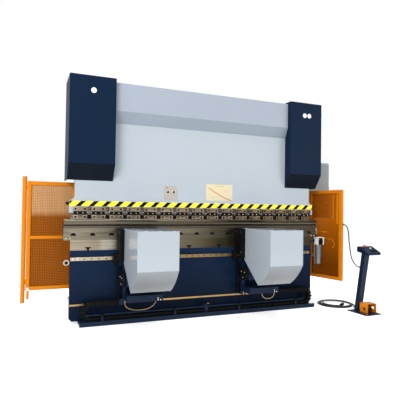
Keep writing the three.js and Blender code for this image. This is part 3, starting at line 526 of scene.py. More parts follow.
def make_finishes():
    """Every finish of the machine by name."""
    colours = bpy.context.scene.press_brake_colours
    navy, pale, orange = colours.navy, colours.pale, colours.orange
    dark_navy = (0.004, 0.010, 0.024)
    steel = dict(metal=0.9, stretch=STEEL_STRETCH, fine=240.0, bump=0.2, scuffs=0.15)
    gloss = dict(Specular_IOR_Level=0.10, Coat_Weight=0.03, Coat_Roughness=0.12)
    return {
        "navy": finish("navy_enamel", navy, dark_navy, (0.10, 0.12, 0.15), rough=(0.28, 0.42), scuffs=0.10,
                       fine=420.0, bump=0.05, **gloss),
        "cover": finish("cover_enamel", navy, dark_navy, (0.10, 0.12, 0.15), pattern=shaded_underside,
                        rough=(0.28, 0.42), scuffs=0.05, fine=420.0, bump=0.05, Specular_IOR_Level=0.03),
        "bed": finish("bed_enamel_and_ground_face", navy, dark_navy, (0.25, 0.24, 0.22), pattern=painted_bed,
                      rough=(0.24, 0.40), stretch=STEEL_STRETCH, fine=240.0, scuffs=0.06, bump=0.08,
                      Specular_IOR_Level=0.05),
        "pale": finish("pale_enamel", pale, (0.34, 0.38, 0.415), (0.45, 0.48, 0.50), rough=(0.26, 0.38),
                       scuffs=0.04, blotch=0.9, blotch_amount=0.30, fine=420.0, bump=0.04, **gloss),
        # The hood and the housings carry painted shade on faces that lean towards the floor.
        "hood": finish("hood_enamel", (0.30, 0.33, 0.38), (0.27, 0.30, 0.35), (0.45, 0.47, 0.50),
                       pattern=painted_shade_below((0.302, 0.332, 0.378), (0.203, 0.250, 0.282), -0.5, -0.2),
                       rough=(0.26, 0.38), scuffs=0.04, blotch=0.9, blotch_amount=0.35, fine=420.0, bump=0.04,
                       **gloss),
        "housing": finish("housing_enamel", (0.34, 0.38, 0.42), (0.31, 0.35, 0.39), (0.45, 0.48, 0.50),
                          pattern=painted_shade_below((0.340, 0.380, 0.410), (0.100, 0.103, 0.100), -0.75, -0.02),
                          rough=(0.10, 0.20), scuffs=0.04, blotch=1.2, fine=420.0, bump=0.03,
                          Coat_Weight=0.35, Coat_Roughness=0.04),
        "slats": finish("housing_top", (0.02, 0.04, 0.10), dark_navy, pattern=slatted_top, rough=(0.15, 0.3),
                        scuffs=0.05, Coat_Weight=0.3, Coat_Roughness=0.1),
        "orange": finish("orange_enamel", orange, (0.42, 0.13, 0.005), (0.55, 0.40, 0.22), rough=(0.25, 0.42),
                         scuffs=0.10, blotch=4.0, fine=420.0, bump=0.05, **gloss),
        "guard_sheet": finish("guard_sheet_enamel", orange, (0.16, 0.045, 0.002), pattern=guard_sheet,
                              rough=(0.35, 0.5), scuffs=0.05, bump=0.05, Specular_IOR_Level=0.10),
        "guard_backing": finish("guard_backing", (0.4, 0.2, 0.05), (0.03, 0.010, 0.002), pattern=guard_backing,
                                rough=(0.18, 0.34), scuffs=0.05, bump=0.04, Specular_IOR_Level=0.05),
        "window": finish("tinted_window", (0.50, 0.14, 0.004), (0.44, 0.10, 0.003), (0.55, 0.18, 0.02),
                         pattern=deeper_towards_bottom,
                         rough=(0.0, 0.04), scuffs=0.05, blotch=2.0, bump=0.01, Transmission_Weight=0.62,
                         IOR=1.12),
        # The ground steel, tool steel, clamp and rail finishes carry a painted reflection, bright at the left and dark
        # to the right.
        "steel": finish("ground_steel", (0.30, 0.26, 0.19), (0.10, 0.08, 0.05), (0.45, 0.40, 0.32),
                        pattern=streaks_and_reflection_along_x((0.30, 0.26, 0.19), (0.060, 0.050, 0.030)), rough=(0.22, 0.38),
                        **steel),
        "tool_steel": finish("tool_steel", (0.30, 0.26, 0.20), (0.12, 0.10, 0.07), (0.55, 0.50, 0.42),
                             pattern=streaks_and_reflection_along_x((0.17, 0.145, 0.105), (0.05, 0.040, 0.025)), rough=(0.24, 0.36),
                             **steel),
        "clamp": finish("clamp_plate", (0.40, 0.34, 0.26), (0.12, 0.09, 0.055), (0.55, 0.47, 0.35),
                        pattern=streaks_and_reflection_along_x((0.42, 0.33, 0.23), (0.155, 0.105, 0.055), -1.6, 1.0),
                        rough=(0.30, 0.45), **steel),
        "bright": finish("bright_steel", (0.62, 0.58, 0.50), (0.36, 0.32, 0.26), (0.75, 0.72, 0.66), metal=0.95,
                         rough=(0.14, 0.28), scuffs=0.1, fine=500.0),
        "rail": finish("rail_steel", (0.62, 0.54, 0.42), (0.34, 0.26, 0.15), (0.8, 0.74, 0.62),
                       pattern=streaks_and_reflection_along_x((0.60, 0.51, 0.38), (0.26, 0.165, 0.060), -1.5, -0.4),
                       rough=(0.20, 0.34), **steel),
        "brass": finish("dull_brass", (0.46, 0.31, 0.12), (0.20, 0.12, 0.03), (0.7, 0.55, 0.3), metal=0.85,
                        stretch=STEEL_STRETCH, rough=(0.28, 0.45), scuffs=0.15),
        "hose": finish("hose_jacket", (0.34, 0.24, 0.11), (0.18, 0.12, 0.05), (0.5, 0.4, 0.2),
                       rough=(0.45, 0.6), fine=900.0, scuffs=0.1),
        "black": finish("black_plastic", (0.004, 0.004, 0.004), (0.002, 0.002, 0.002), (0.02, 0.02, 0.02),
                        rough=(0.42, 0.60), fine=600.0, bump=0.2, scuffs=0.10, Specular_IOR_Level=0.07),
        "rubber": finish("cable_jacket", (0.020, 0.019, 0.013), (0.008, 0.008, 0.006), (0.07, 0.065, 0.045),
                         rough=(0.34, 0.50), fine=900.0, bump=0.2, scuffs=0.15, Specular_IOR_Level=0.4),
        "grey": finish("grey_enamel", (0.27, 0.285, 0.275), (0.20, 0.21, 0.20), (0.35, 0.35, 0.35),
                       rough=(0.3, 0.45), scuffs=0.1, fine=420.0, bump=0.05, **gloss),
        "motor": finish("motor_housing", (0.20, 0.21, 0.21), (0.09, 0.095, 0.095), (0.5, 0.5, 0.5), metal=0.7,
                        rough=(0.22, 0.36), fine=420.0),
        "panel": finish("button_panel", (0.43, 0.39, 0.33), (0.33, 0.30, 0.24), (0.6, 0.58, 0.54), metal=0.3,
                        rough=(0.35, 0.5), stretch=(1.0, 1.0, 0.05), scuffs=0.1),
        "white": finish("white_plastic", (0.80, 0.80, 0.77), (0.62, 0.61, 0.56), (0.9, 0.9, 0.88),
                        rough=(0.25, 0.4), scuffs=0.05),
        "red": finish("red_plastic", (0.52, 0.030, 0.015), (0.30, 0.012, 0.006), (0.7, 0.2, 0.15),
                      rough=(0.2, 0.35), scuffs=0.05, Coat_Weight=0.4, Coat_Roughness=0.1),
        "tape": finish("hazard_tape", (0.9, 0.8, 0.1), (0.5, 0.45, 0.08), (0.5, 0.45, 0.3),
                       pattern=hazard_stripes, rough=(0.4, 0.55), scuffs=0.03, blotch_amount=0.10,
                       Specular_IOR_Level=0.06),
        "chart": finish("chart_plate", (0.86, 0.77, 0.5), (0.7, 0.6, 0.35), pattern=bending_chart,
                        rough=(0.3, 0.45), scuffs=0.05, blotch_amount=0.12),
    }


FINISHES = {}


# ---------------------------------------------------------------- pieces

def piece(name, part, finish_name, body, replaces=(), smooth_below=38.0, bevel=0.0):
    """A finished object from points in millimetres, riding on its body, or on none yet."""
    points, faces = part
    mesh = bpy.data.meshes.new(name)
    mesh.from_pydata((points * MM).tolist(), [], [row for face in faces for row in face.tolist()])
    mesh.validate()
    made = bpy.data.objects.new(name, mesh)
    bpy.context.scene.collection.objects.link(made)
    return settle(made, finish_name, body, replaces, smooth_below, bevel)


def settle(made, finish_name, body, replaces, smooth_below, bevel):
    """Gives a new object its finish, edges and body."""
    mesh = made.data
    mesh.materials.clear()
    mesh.materials.append(FINISHES[finish_name])
    mesh.polygons.foreach_set("use_smooth", np.ones(len(mesh.polygons), bool))
    mesh.set_sharp_from_angle(angle=math.radians(smooth_below))
    if bevel:
        rounded = made.modifiers.new("edges", "BEVEL")
        rounded.width = bevel * MM
        rounded.segments = 2
        rounded.limit_method = "ANGLE"
        rounded.angle_limit = math.radians(40)
        rounded.harden_normals = True
    if body:
        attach(made, body)
    if replaces:
        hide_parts(*replaces)
    return made


def body_of(node):
    for body, nodes in frame["record"]["behaviour"]["bodies"].items():
        if node in nodes:
            return body
    raise ValueError(f"no body holds {node}")


def carried(node, finish_name, bevel=1.5, smooth_below=25.0):
    """A copy of a CAD node with its loose triangles merged, flat faces joined and its edges broken."""
    source = frame["nodes"][node]
    work = bmesh.new()
    work.from_mesh(source.data)
    bmesh.ops.remove_doubles(work, verts=work.verts, dist=1e-5)
    bmesh.ops.dissolve_limit(work, angle_limit=math.radians(0.5), verts=work.verts, edges=work.edges)
    mesh = bpy.data.meshes.new(f"{node}_body")
    work.to_mesh(mesh)
    work.free()
    made = bpy.data.objects.new(f"{node}_body", mesh)
    bpy.context.scene.collection.objects.link(made)
    return settle(made, finish_name, body_of(node), (node,), smooth_below, bevel)


def bolt_head(axis, centre, radius, height, sides=20):
    """Cap screw: a low drum with a broken rim and a sunk socket."""
    socket = radius * 0.52
    return turned([
        (radius, 0), (radius, height * 0.75), (radius * 0.88, height), (socket, height),
        (socket * 0.94, height * 0.35),
    ], axis, centre, sides)


def facing_front(part):
    """A part built at the origin, turned half round about Z: one that looked along +Y or +X looks back."""
    points, faces = part
    return points * np.array([-1.0, -1.0, 1.0]), faces


def row(count, pitch, y=0.0, z=0.0):
    """Places along X, a pitch apart and centred on the machine."""
    return [((i - (count - 1) / 2) * pitch, y, z) for i in range(count)]


def front_bolts(places, radius, height):
    """Cap screws on a front face at (x, y, z) places, heads towards -Y."""
    head = facing_front(bolt_head("y", (0, 0, 0), radius, height))
    return repeated(head, places)


# ---------------------------------------------------------------- settings

class PRESS_PG_sizes(PropertyGroup):
    """Sizes that a user would change."""
    stripe_pitch: FloatProperty(name="Stripe pitch", description="Distance from one warning stripe to the next",
                                default=0.1426, min=0.02, unit="LENGTH")
    stripe_share: FloatProperty(name="Stripe share", description="Black part of each stripe pitch",
                                default=0.40, min=0.05, max=0.95, subtype="FACTOR")
    hole_pitch: FloatProperty(name="Guard hole pitch", description="Distance between holes in the guard sheet",
                              default=0.018, min=0.008, unit="LENGTH")
    hole_width: FloatProperty(name="Guard hole width", description="Width of each hole in the guard sheet",
                              default=0.0105, min=0.002, unit="LENGTH")
    chain_pitch: FloatProperty(name="Chain pitch", description="Length of one link of the cable chains",
                               default=0.045, min=0.02, unit="LENGTH")
    cable_sides: IntProperty(name="Cable sides", description="Sides of a cable's round section",
                             default=12, min=6, max=32)


class PRESS_PG_colours(PropertyGroup):
    """Paint colours of the machine."""
    navy: FloatVectorProperty(name="Navy", description="Dark enamel of the bed and the end covers",
                              default=(0.0062, 0.0150, 0.036), size=3, min=0.0, max=1.0, subtype="COLOR")
    pale: FloatVectorProperty(name="Pale blue-grey", description="Light enamel of the ram and the frames",
                              default=(0.378, 0.420, 0.452), size=3, min=0.0, max=1.0, subtype="COLOR")
    orange: FloatVectorProperty(name="Orange", description="Enamel of the side guards and the pedal guard",
                                default=(0.62, 0.185, 0.0015), size=3, min=0.0, max=1.0, subtype="COLOR")


# ---------------------------------------------------------------- stage

CAMERA_PLACE = (-2.0531, -4.8564, 1.2803)
CAMERA_RIGHT = (0.92520819, -0.3791952, 0.01417027)
CAMERA_UP = (-0.02168199, -0.01554644, 0.99964404)
CAMERA_LOOK = (0.37883993, 0.92518609, 0.0226054)
CAMERA_LENS = 38.17


def area_light(name, place, target, size, energy, colour=(1.0, 1.0, 1.0)):
    light = bpy.data.lights.new(name, "AREA")
    light.shape, light.size, light.energy, light.color = "SQUARE", size, energy, colour
    lamp = bpy.data.objects.new(name, light)
    bpy.context.scene.collection.objects.link(lamp)
    look = Matrix.Translation(place).to_translation() - Matrix.Translation(target).to_translation()
    lamp.location = place
    lamp.rotation_euler = look.to_track_quat("Z", "Y").to_euler()
    return lamp


class PRESS_OT_stage(Operator):
    """Makes the camera, the soft lights, the pale world and the floor."""
    bl_idname = "press_brake.stage"
    bl_label = "Stage"

    def execute(self, context):
        scene = context.scene
        data = bpy.data.cameras.new("camera")
        data.lens, data.sensor_width = CAMERA_LENS, 36.0
        data.clip_start, data.clip_end = 0.1, 200.0
        camera = bpy.data.objects.new("camera", data)
        scene.collection.objects.link(camera)
        turn = Matrix((CAMERA_RIGHT, CAMERA_UP, tuple(-c for c in CAMERA_LOOK))).transposed().to_4x4()
        camera.matrix_world = Matrix.Translation(CAMERA_PLACE) @ turn
        scene.camera = camera
        scene.view_settings.view_transform = "Standard"
        world = bpy.data.worlds.new("pale_room")
        world.use_nodes = True
        graph = Graph(world.node_tree)
        seen = graph.node("ShaderNodeLightPath").outputs["Is Camera Ray"]
        graph.feed(world.node_tree.nodes["Background"].inputs["Color"],
                   graph.mix(seen, (0.60, 0.62, 0.66, 1.0), (1.0, 1.0, 1.0, 1.0)))
        scene.world = world
        area_light("key", (-6.5, -7.0, 5.5), (0.0, 0.0, 1.2), 4.0, 640)
        area_light("fill", (5.5, -6.5, 3.0), (0.5, 0.0, 1.0), 3.0, 110)
        area_light("top", (0.0, 0.5, 7.5), (0.0, 0.0, 0.0), 5.0, 420)
        mesh = bpy.data.meshes.new("floor")
        half = 60.0
        mesh.from_pydata([(-half, -half, -0.0005), (half, -half, -0.0005), (half, half, -0.0005),
                          (-half, half, -0.0005)], [], [(0, 1, 2, 3)])
        floor = bpy.data.objects.new("floor", mesh)
        scene.collection.objects.link(floor)
        pale = bpy.data.materials.new("pale_floor")
        pale.use_nodes = True
        shader = pale.node_tree.nodes["Principled BSDF"]
        shader.inputs["Base Color"].default_value = (0.93, 0.93, 0.93, 1.0)
        shader.inputs["Roughness"].default_value = 0.9
        shader.inputs["Emission Color"].default_value = (1.0, 1.0, 1.0, 1.0)
        shader.inputs["Emission Strength"].default_value = 0.42
        mesh.materials.append(pale)
        return {"FINISHED"}


# ---------------------------------------------------------------- cords

HOSE_WIDTH = 10.0
CABLE_WIDTH = 14.0
MOTOR_CABLE_WIDTH = 9.0
FOOT_CABLE_WIDTH = 13.0
LEFT_FOLLOWER = -1039.0
RIGHT_FOLLOWER = 467.0

LEFT_HOSE = [
    (40, -85, 221.7), (40, -86, 205), (47, -90, 180), (76, -100, 154), (125, -116, 138), (190, -134, 134),
    (260, -152, 142), (320, -168, 166), (362, -178, 205), (375, -180, 240), (375, -180, 257.7),
]
RIGHT_HOSE = [
    (205, -270, 257.7), (205, -270, 240), (215, -270, 216), (245, -270, 194), (290, -270, 185),
    (335, -270, 192), (368, -270, 214), (379, -270, 240), (380, -270, 257.7),
]
PEDESTAL_CABLE = [
    (1914.0, -282.4, 1104), (1917, -299, 1103.5), (1920.5, -325, 1095), (1922, -350, 1070),
    (1920.5, -372, 1030),
    (1918.5, -385, 975), (1917.5, -393, 905), (1921, -400, 840), (1925, -406, 778), (1928, -416, 715),
    (1932, -436, 655), (1940, -468, 607), (1948, -502, 578), (1952.6, -524, 566.3), (1953.4, -540, 566),
]
MOTOR_CABLE = [
    (1696, -20, 552.7), (1695, -20, 538), (1684, -17, 520), (1660, -8, 508), (1634, 6, 505), (1612, 12, 509),
    (1604, 13, 510.6), (1598.8, 13, 511),
]
FOOT_LEAD = [
    (1977.4, -458.6, 40), (1976.7, -444.6, 39.8), (1978.4, -428.6, 35), (1988.6, -411.6, 24),
    (2000.6, -395.6, 13.5), (2015.6, -379.6, 8.3), (2033.6, -363.1, 7.2), (2053.6, -346.6, 7.2),
    (2073.6, -329.6, 7.2), (2093.1, -310.9, 7.2),
]
COIL_MIDDLE = (1923.7, -122.5)
COIL_START_TURN = -48.0 / 360.0
CONNECTOR_PLACE = (1886.7, -260.6, 19.5)
CONNECTOR_TURN = 27.6
CONNECTOR_START = 14.5
# Turn number, radius and height of the coiled cable's centre line.
COIL_ROUTE = [
    (0.02, 250.5, 7.2), (0.07, 242, 7.0), (0.14, 234.5, 6.9), (0.4, 232, 6.9), (0.9, 231, 6.9),
    (1.04, 225, 6.9), (1.14, 218, 6.9), (1.5, 216, 6.9), (1.95, 215.5, 6.9), (2.1, 206, 6.9),
    (2.2, 201.5, 7.2), (2.33, 200, 14), (2.46, 202, 20.6), (2.62, 218, 20.8), (2.75, 227, 20.8),
    (2.95, 222, 20.8), (3.15, 204, 20.8), (3.32, 193, 20.8), (3.46, 188, 20.8), (3.62, 203, 20.8),
    (3.75, 212, 20.8), (3.95, 207, 20.8), (4.15, 189, 20.8), (4.32, 178, 20.8), (4.46, 173, 20.6),
    (4.58, 168, 20.2), (4.70, 161, 19.8), (4.775, 156.5, 19.6),
]


def foot_cable_path():
    """Centre line of the foot cable: the lead, then the coil route in polar form, then into the connector."""
    route = np.array(COIL_ROUTE)
    angle = (route[:, 0] + COIL_START_TURN) * 2 * math.pi
    turns = np.arange(route[0, 0], route[-1, 0], 1 / 36)
    smooth = [np.interp(turns, route[:, 0], route[:, k]) for k in (1, 2)]
    soften = np.hanning(9) / np.hanning(9).sum()
    smooth = [np.convolve(np.pad(values, 4, "edge"), soften, "valid") for values in smooth]
    angle = (turns + COIL_START_TURN) * 2 * math.pi
    coil = np.stack([COIL_MIDDLE[0] + smooth[0] * np.cos(angle), COIL_MIDDLE[1] + smooth[0] * np.sin(angle),
                     smooth[1]], -1)
    aim = np.array([math.cos(math.radians(CONNECTOR_TURN)), math.sin(math.radians(CONNECTOR_TURN)), 0.0])
    start = np.array(CONNECTOR_PLACE)
    ending = np.array([start + aim * d for d in (-8.0, CONNECTOR_START - 0.3)])
    return catmull(np.vstack([FOOT_LEAD, coil[1:], ending]), 3)


def laid_cord(name, path, width, finish_name, body, slot, node, **facts):
    """A round cable along the path that stands for its CAD tube."""
    sizes = bpy.context.scene.press_brake_sizes
    made = piece(name, hose_skin(path, width / 2, sizes.cable_sides), finish_name, body, node, 80)
    return made


class PRESS_OT_cords(Operator):
    """Lays the hoses, the pedestal cable, the motor cable and the coiled foot cable."""
    bl_idname = "press_brake.cords"
    bl_label = "Cables and hoses"

    def execute(self, context):
        for side, start, route in (("left", LEFT_FOLLOWER, LEFT_HOSE), ("right", RIGHT_FOLLOWER, RIGHT_HOSE)):
            path = catmull(np.array(route) + np.array([start, 0, 0]))
            laid_cord(f"bowden_hose_{side}", path, HOSE_WIDTH, "hose", f"carriage_{side}", "hose",
                      (f"hose_{side}",), far_end="object", stiffness="medium", lay="hanging")
        path = catmull(PEDESTAL_CABLE)
        lead = laid_cord("pedestal_lead", path, CABLE_WIDTH, "rubber", None, "cable", ("pedestal_cable",),
                         far_end="object", stiffness="medium", lay="hanging")
        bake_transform(lead)
        path = catmull(MOTOR_CABLE)
        piece("motor_lead", hose_skin(path, MOTOR_CABLE_WIDTH / 2, 12), "rubber", "root",
              ("motor_cable",), 80)
        connector = self.connector()
        laid_cord("foot_switch_lead", foot_cable_path(), FOOT_CABLE_WIDTH, "rubber", "root", "cable",
                  ("foot_cable", "foot_cable_coil"), far_end="connector", stiffness="medium", lay="coiled",
                  with_pieces=[connector])
        return {"FINISHED"}

    def connector(self):
        """Round plug with a ribbed ring, turned about its own axis and then laid towards the coil's middle."""
        profile = [
            (7.0, 0), (10.5, 1), (11.5, 3), (11.5, 24), (12, 25.2), (16.8, 25.6), (18.3, 27), (18.3, 44),
            (17.0, 45), (17.0, 48), (18.3, 49), (18.3, 52), (17.0, 53), (17.0, 56), (18.3, 57), (18.3, 60), (17.0, 61),
            (17.0, 64), (18.3, 65), (18.3, 92), (17.3, 94), (15.0, 94.6), (15.0, 90), (3.0, 89.5),
        ]
        body = turned([(r, t + CONNECTOR_START) for r, t in profile], "x", (0, 0, 0), 28)
        points, faces = turned_copy(body, "z", CONNECTOR_TURN, (0, 0, 0))
        return piece("foot_switch_plug", (points + np.array(CONNECTOR_PLACE), faces), "black", "root",
                     ("foot_cable_connector",), 30)


# ---------------------------------------------------------------- bed, table and tooling

EYE_HEIGHT = 678.0
NOTCH_PITCH = 401.5
NOTCH_HEIGHT = 833.0
POCKET_PITCH = 209.0
POCKET_HEIGHT = 972.0
POCKET_SHADE_RADIUS = 31.0


def rail_marks(bar_low, bar_high, pitch, ring_places):
    """Screw holes along a rail and the bright ring bolts at its ends."""
    centre_z = (bar_low[2] + bar_high[2]) / 2
    front = bar_low[1]
    places = np.arange(bar_low[0] + 150, bar_high[0] - 60, pitch)
    pads, rings = ([(x, front + 0.2, centre_z) for x in spots] for spots in (places, ring_places))
    return front_bolts(pads, 7.5, 1.6), front_bolts(rings, 15.0, 6.0)


class PRESS_OT_bed(Operator):
    """Finishes the tray, the bed plate, the table, the dies and the rails."""
    bl_idname = "press_brake.bed"
    bl_label = "Bed, table and rails"

    def execute(self, context):
        carried("tray", "navy", 1.5)
        carried("bed_plate", "bed", 2.0)
        carried("table_top", "steel", 1.2)
        carried("crowning_wedge", "bright", 1.0)
        carried("die_holder", "tool_steel", 1.5)
        carried("die_block", "steel", 0.8)
        carried("upper_rail", "rail", 1.5)
        carried("lower_rail", "brass", 1.5)
        carried("guide_bar", "navy", 1.0)
        low, high = node_mm("upper_rail")
        holes, rings = rail_marks(low, high, 80.0, (-1583 + 20, -1518, 1535))
        piece("upper_rail_screws", holes, "black", "root")
        piece("upper_rail_ring_bolts", rings, "bright", "root")
        self.notch_shades()
        self.table_screws()
        self.guide_clips()
        self.eyes()
        return {"FINISHED"}

    def notch_shades(self):
        """Black winged plates with a short stem, one in each recess of the bed's face: painted shade that makes each
        recess read deep.
        """
        wing = slab((-35, -2.0, NOTCH_HEIGHT - 4), (35, 9, NOTCH_HEIGHT + 10), "y", 5, 1.0)
        stem = slab((-12, -1.6, NOTCH_HEIGHT - 27), (12, 9, NOTCH_HEIGHT - 2), "y", 2, 0.8)
        piece("notch_shades", repeated(merged(wing, stem), row(8, NOTCH_PITCH)), "black", "root")

    def table_screws(self):
        """Screws at both ends of the table and a thin black half-disc over each pocket of its front, painted shade
        that makes the pocket read deep.
        """
        low, high = node_mm("table_top")
        # Painted shade: the black half-discs stand for the dark depth of each pocket.
        angle = np.linspace(0, math.pi, 13)
        arc = np.stack([POCKET_SHADE_RADIUS * np.cos(angle), POCKET_SHADE_RADIUS * np.sin(angle)], -1)
        rings = np.array([placed("y", POCKET_HEIGHT + arc[:, 1] * k, arc[:, 0] * k, np.full(13, y))
                          for k, y in ((0.96, -1.2), (1.0, -0.6), (1.0, 6.0))])
        piece("pocket_shades", repeated(lofted(rings), row(16, POCKET_PITCH, low[1])), "black", "root")
        ends = [(side * (high[0] - 26), low[1] + 0.3, low[2] + 18) for side in (-1, 1)]
        ends += [(side * (high[0] - 70), low[1] + 0.3, low[2] + 18) for side in (-1, 1)]
        piece("table_end_screws", front_bolts(ends, 9.0, 5.0), "bright", "root")

    def guide_clips(self):
        """Black blocks that hold the guide bar, and the small ones on the tray below it."""
        low, high = node_mm("guide_bar")
        clips = [slab((x - 22, low[1] - 5, low[2] + 62), (x + 22, high[1] + 4, high[2] + 3), "y", 4, 1.5)
                 for x in (-1258, -420, 420, 1256)]
        small = [slab((x - 10, -148, 52), (x + 10, -137, 78), "y", 3, 1.0) for x in (-1090, 930)]
        piece("guide_clips", merged(*clips, *small), "black", "root")
        cap = slab((-14, -149.5, 150.2), (14, -129, 156), "z", 4, 1.0)
        piece("chain_anchor_screw", cap, "brass", "root")

    def eyes(self):
        """Bright collars inside the transport eyes at both ends of the bed, each closed by a black disc of painted
        shade.
        """
        for side, x, radius in (("left", -1636, 32), ("right", 1624, 20)):
            profile = [
                (radius * 0.57, -13.0), (radius * 0.98, -13.6), (radius * 1.02, -12.6), (radius * 1.02, 2),
                (radius, 4), (radius * 0.57, 4),
            ]
            # Painted shade: a black disc closes the eye so the hole reads dark.
            shade_disc = turned([(radius * 0.54, 0), (radius * 0.54, 3)], "y", (x, 0, EYE_HEIGHT), 36)
            piece(f"eye_shade_disc_{side}", shade_disc, "black", "root")
            collar = turned_ring(profile, "y", (x, 0, EYE_HEIGHT), 36)
            piece(f"eye_collar_{side}", collar, "rail", "root")


# ---------------------------------------------------------------- ram and clamps

CLAMP_PITCH = 200.0
CLAMP_COUNT = 16
CLAMP_HALF = 76.5
CLAMP_FRONT = -22.0


class PRESS_OT_ram(Operator):
    """Finishes the ram and adds its tape, chart, button panel, tool clamps and punch."""
    bl_idname = "press_brake.ram"
    bl_label = "Ram and clamps"

    def execute(self, context):
        carried("ram", "pale", 2.0)
        carried("punch", "bright", 0.6)
        carried("ram_panel", "panel", 0.8)
        piece("hazard_tape", strip(-1614, 1614, 1301, 1358.5, -0.1, 0.6), "tape", "ram")
        piece("bending_chart", strip(16, 381, 1392, 1599, -0.1, 1.2), "chart", "ram")
        for node in ("piston_left", "piston_right"):
            carried(node, "bright", 0.5, 50)
        for side in ("left", "right"):
            self.button(side)
        rivet = [(-516, -3.0, 1546), (-376, -3.0, 1546), (-516, -3.0, 1404), (-376, -3.0, 1404)]
        piece("panel_rivets", front_bolts(rivet, 3.2, 1.2), "bright", "ram")
        dome = [(7.5, 0), (7.5, 2.5), (6.0, 4.5), (2.5, 5.6), (0.4, 5.8)]
        lamp = facing_front(turned(dome, "y", (0, 0, 0), 20))
        piece("panel_lamp", repeated(lamp, [(-497, -3.0, 1536)]), "red", "ram")
        self.knobs()
        self.clamps()
        return {"FINISHED"}

    def button(self, side):
        """Round push button: a collar, a broken rim and a dished face."""
        low, high = node_mm(f"ram_button_{side}")
        centre = (low + high) / 2
        profile = [
            (10.8, 0), (10.8, 10), (10.2, 11.5), (9.0, 13.0), (7.6, 13.8), (5.5, 13.3), (2.5, 13.0),
            (0.4, 12.9),
        ]
        cap = facing_front(turned(profile, "y", (0, 0, 0), 28))
        piece(f"push_button_{side}", repeated(cap, [(centre[0], high[1] - 0.2, centre[2])]), "black",
              f"ram_button_{side}", (f"ram_button_{side}",))
        profile = [(15.5, 0), (15.5, 1.6), (14.6, 2.4), (13.2, 2.5), (12.6, 1.9), (12.6, 0)]
        ring = facing_front(turned_ring(profile, "y", (0, 0, 0), 28))
        piece(f"button_ring_{side}", repeated(ring, [(centre[0], -3.0, centre[2])]), "bright", "ram")

    def knobs(self):
        """Black grips over the bars at both ends of the ram."""
        profile = [(14.0, 0), (16.5, 2), (16.5, 22), (14.5, 25), (17.0, 28), (17.0, 32), (13.0, 35)]
        left = turned([(r, -t) for r, t in reversed(profile)], "x", (-1616, 24, 1330), 24)
        right = turned(profile, "x", (1616, 24, 1330), 24)
        piece("ram_end_knobs", merged(left, right), "black", "ram")

    def clamps(self):
        """Sixteen clamps: upper and lower plates, bolts, the slotted wedge and the bar behind."""
        places = row(CLAMP_COUNT, CLAMP_PITCH)
        half, front = CLAMP_HALF, CLAMP_FRONT
        upper = slab((-half, front, 1245), (half, -0.4, 1294), "y", 8, 2.5)
        lower = slab((-half, front, 1160), (half, 1.0, 1205), "y", 8, 2.5)
        plates = merged(upper, lower)
        piece("clamp_plates", repeated(plates, places), "clamp", "ram", ("clamp_bar",))
        neck = slab((-half + 6, -13, 1198), (half - 6, -0.4, 1250), "y", 3, 1.0)
        slot = slab((-24, front - 1.2, 1190), (24, front + 3, 1197), "y", 2.5, 0.8)
        wedge = slab((-14, front - 2.2, 1176), (14, front + 3, 1180), "y", 1.8, 0.6)
        piece("clamp_necks", repeated(merged(neck, slot), places), "black", "ram")
        piece("clamp_wedge_marks", repeated(wedge, places), "black", "ram")
        bolts = [(x, front + 0.3, z) for z in (1270, 1182) for x in (-50, 50)]
        sockets = facing_front(bolt_head("y", (0, 0, 0), 11.0, 3.5))
        piece("clamp_bolts", repeated(repeated(sockets, bolts), places), "black", "ram")
        screw = facing_front(bolt_head("y", (0, 0, 0), 7.0, 4.0, 16))
        piece("clamp_screws", repeated(repeated(screw, [(-30, -12.6, 1226), (30, -12.6, 1226)]), places),
              "bright", "ram")
        bar = slab((-1599, 0.4, 1164), (1599, 21.4, 1227.4), "x", 2, 1.0)
        rear = slab((-1599, 38.4, 1164), (1599, 59.6, 1227.4), "x", 2, 1.0)
        bridge = slab((-1598, 21.0, 1197), (1598, 39.0, 1227.0), "x", 1, 0.5)
        piece("clamp_carrier", merged(bar, rear, bridge), "tool_steel", "ram")
        between = row(CLAMP_COUNT - 1, CLAMP_PITCH)
        body = merged(
            slab((-20, -9, 1240), (20, -0.4, 1297), "y", 3, 1.2),
            slab((-8, -17, 1206), (8, 0.2, 1234), "y", 3, 1.2),
        )
        piece("clamp_spacers", repeated(body, between), "tool_steel", "ram")
        # Painted shade: black blocks fill the gaps between the clamps so they read dark.
        gap = slab((-23, -7, 1162), (23, 0.2, 1204), "y", 3, 1.0)
        piece("clamp_gap_shades", repeated(gap, between), "black", "ram")


# ---------------------------------------------------------------- frame and covers

def disc_marks(x_places, z, y):
    """Flat round marks on a front face, that number the two cylinders by count."""
    disc = facing_front(turned([(30, 0), (30, 0.5), (28.5, 0.9)], "y", (0, 0, 0), 40))
    return repeated(disc, [(x, y, z) for x in x_places])


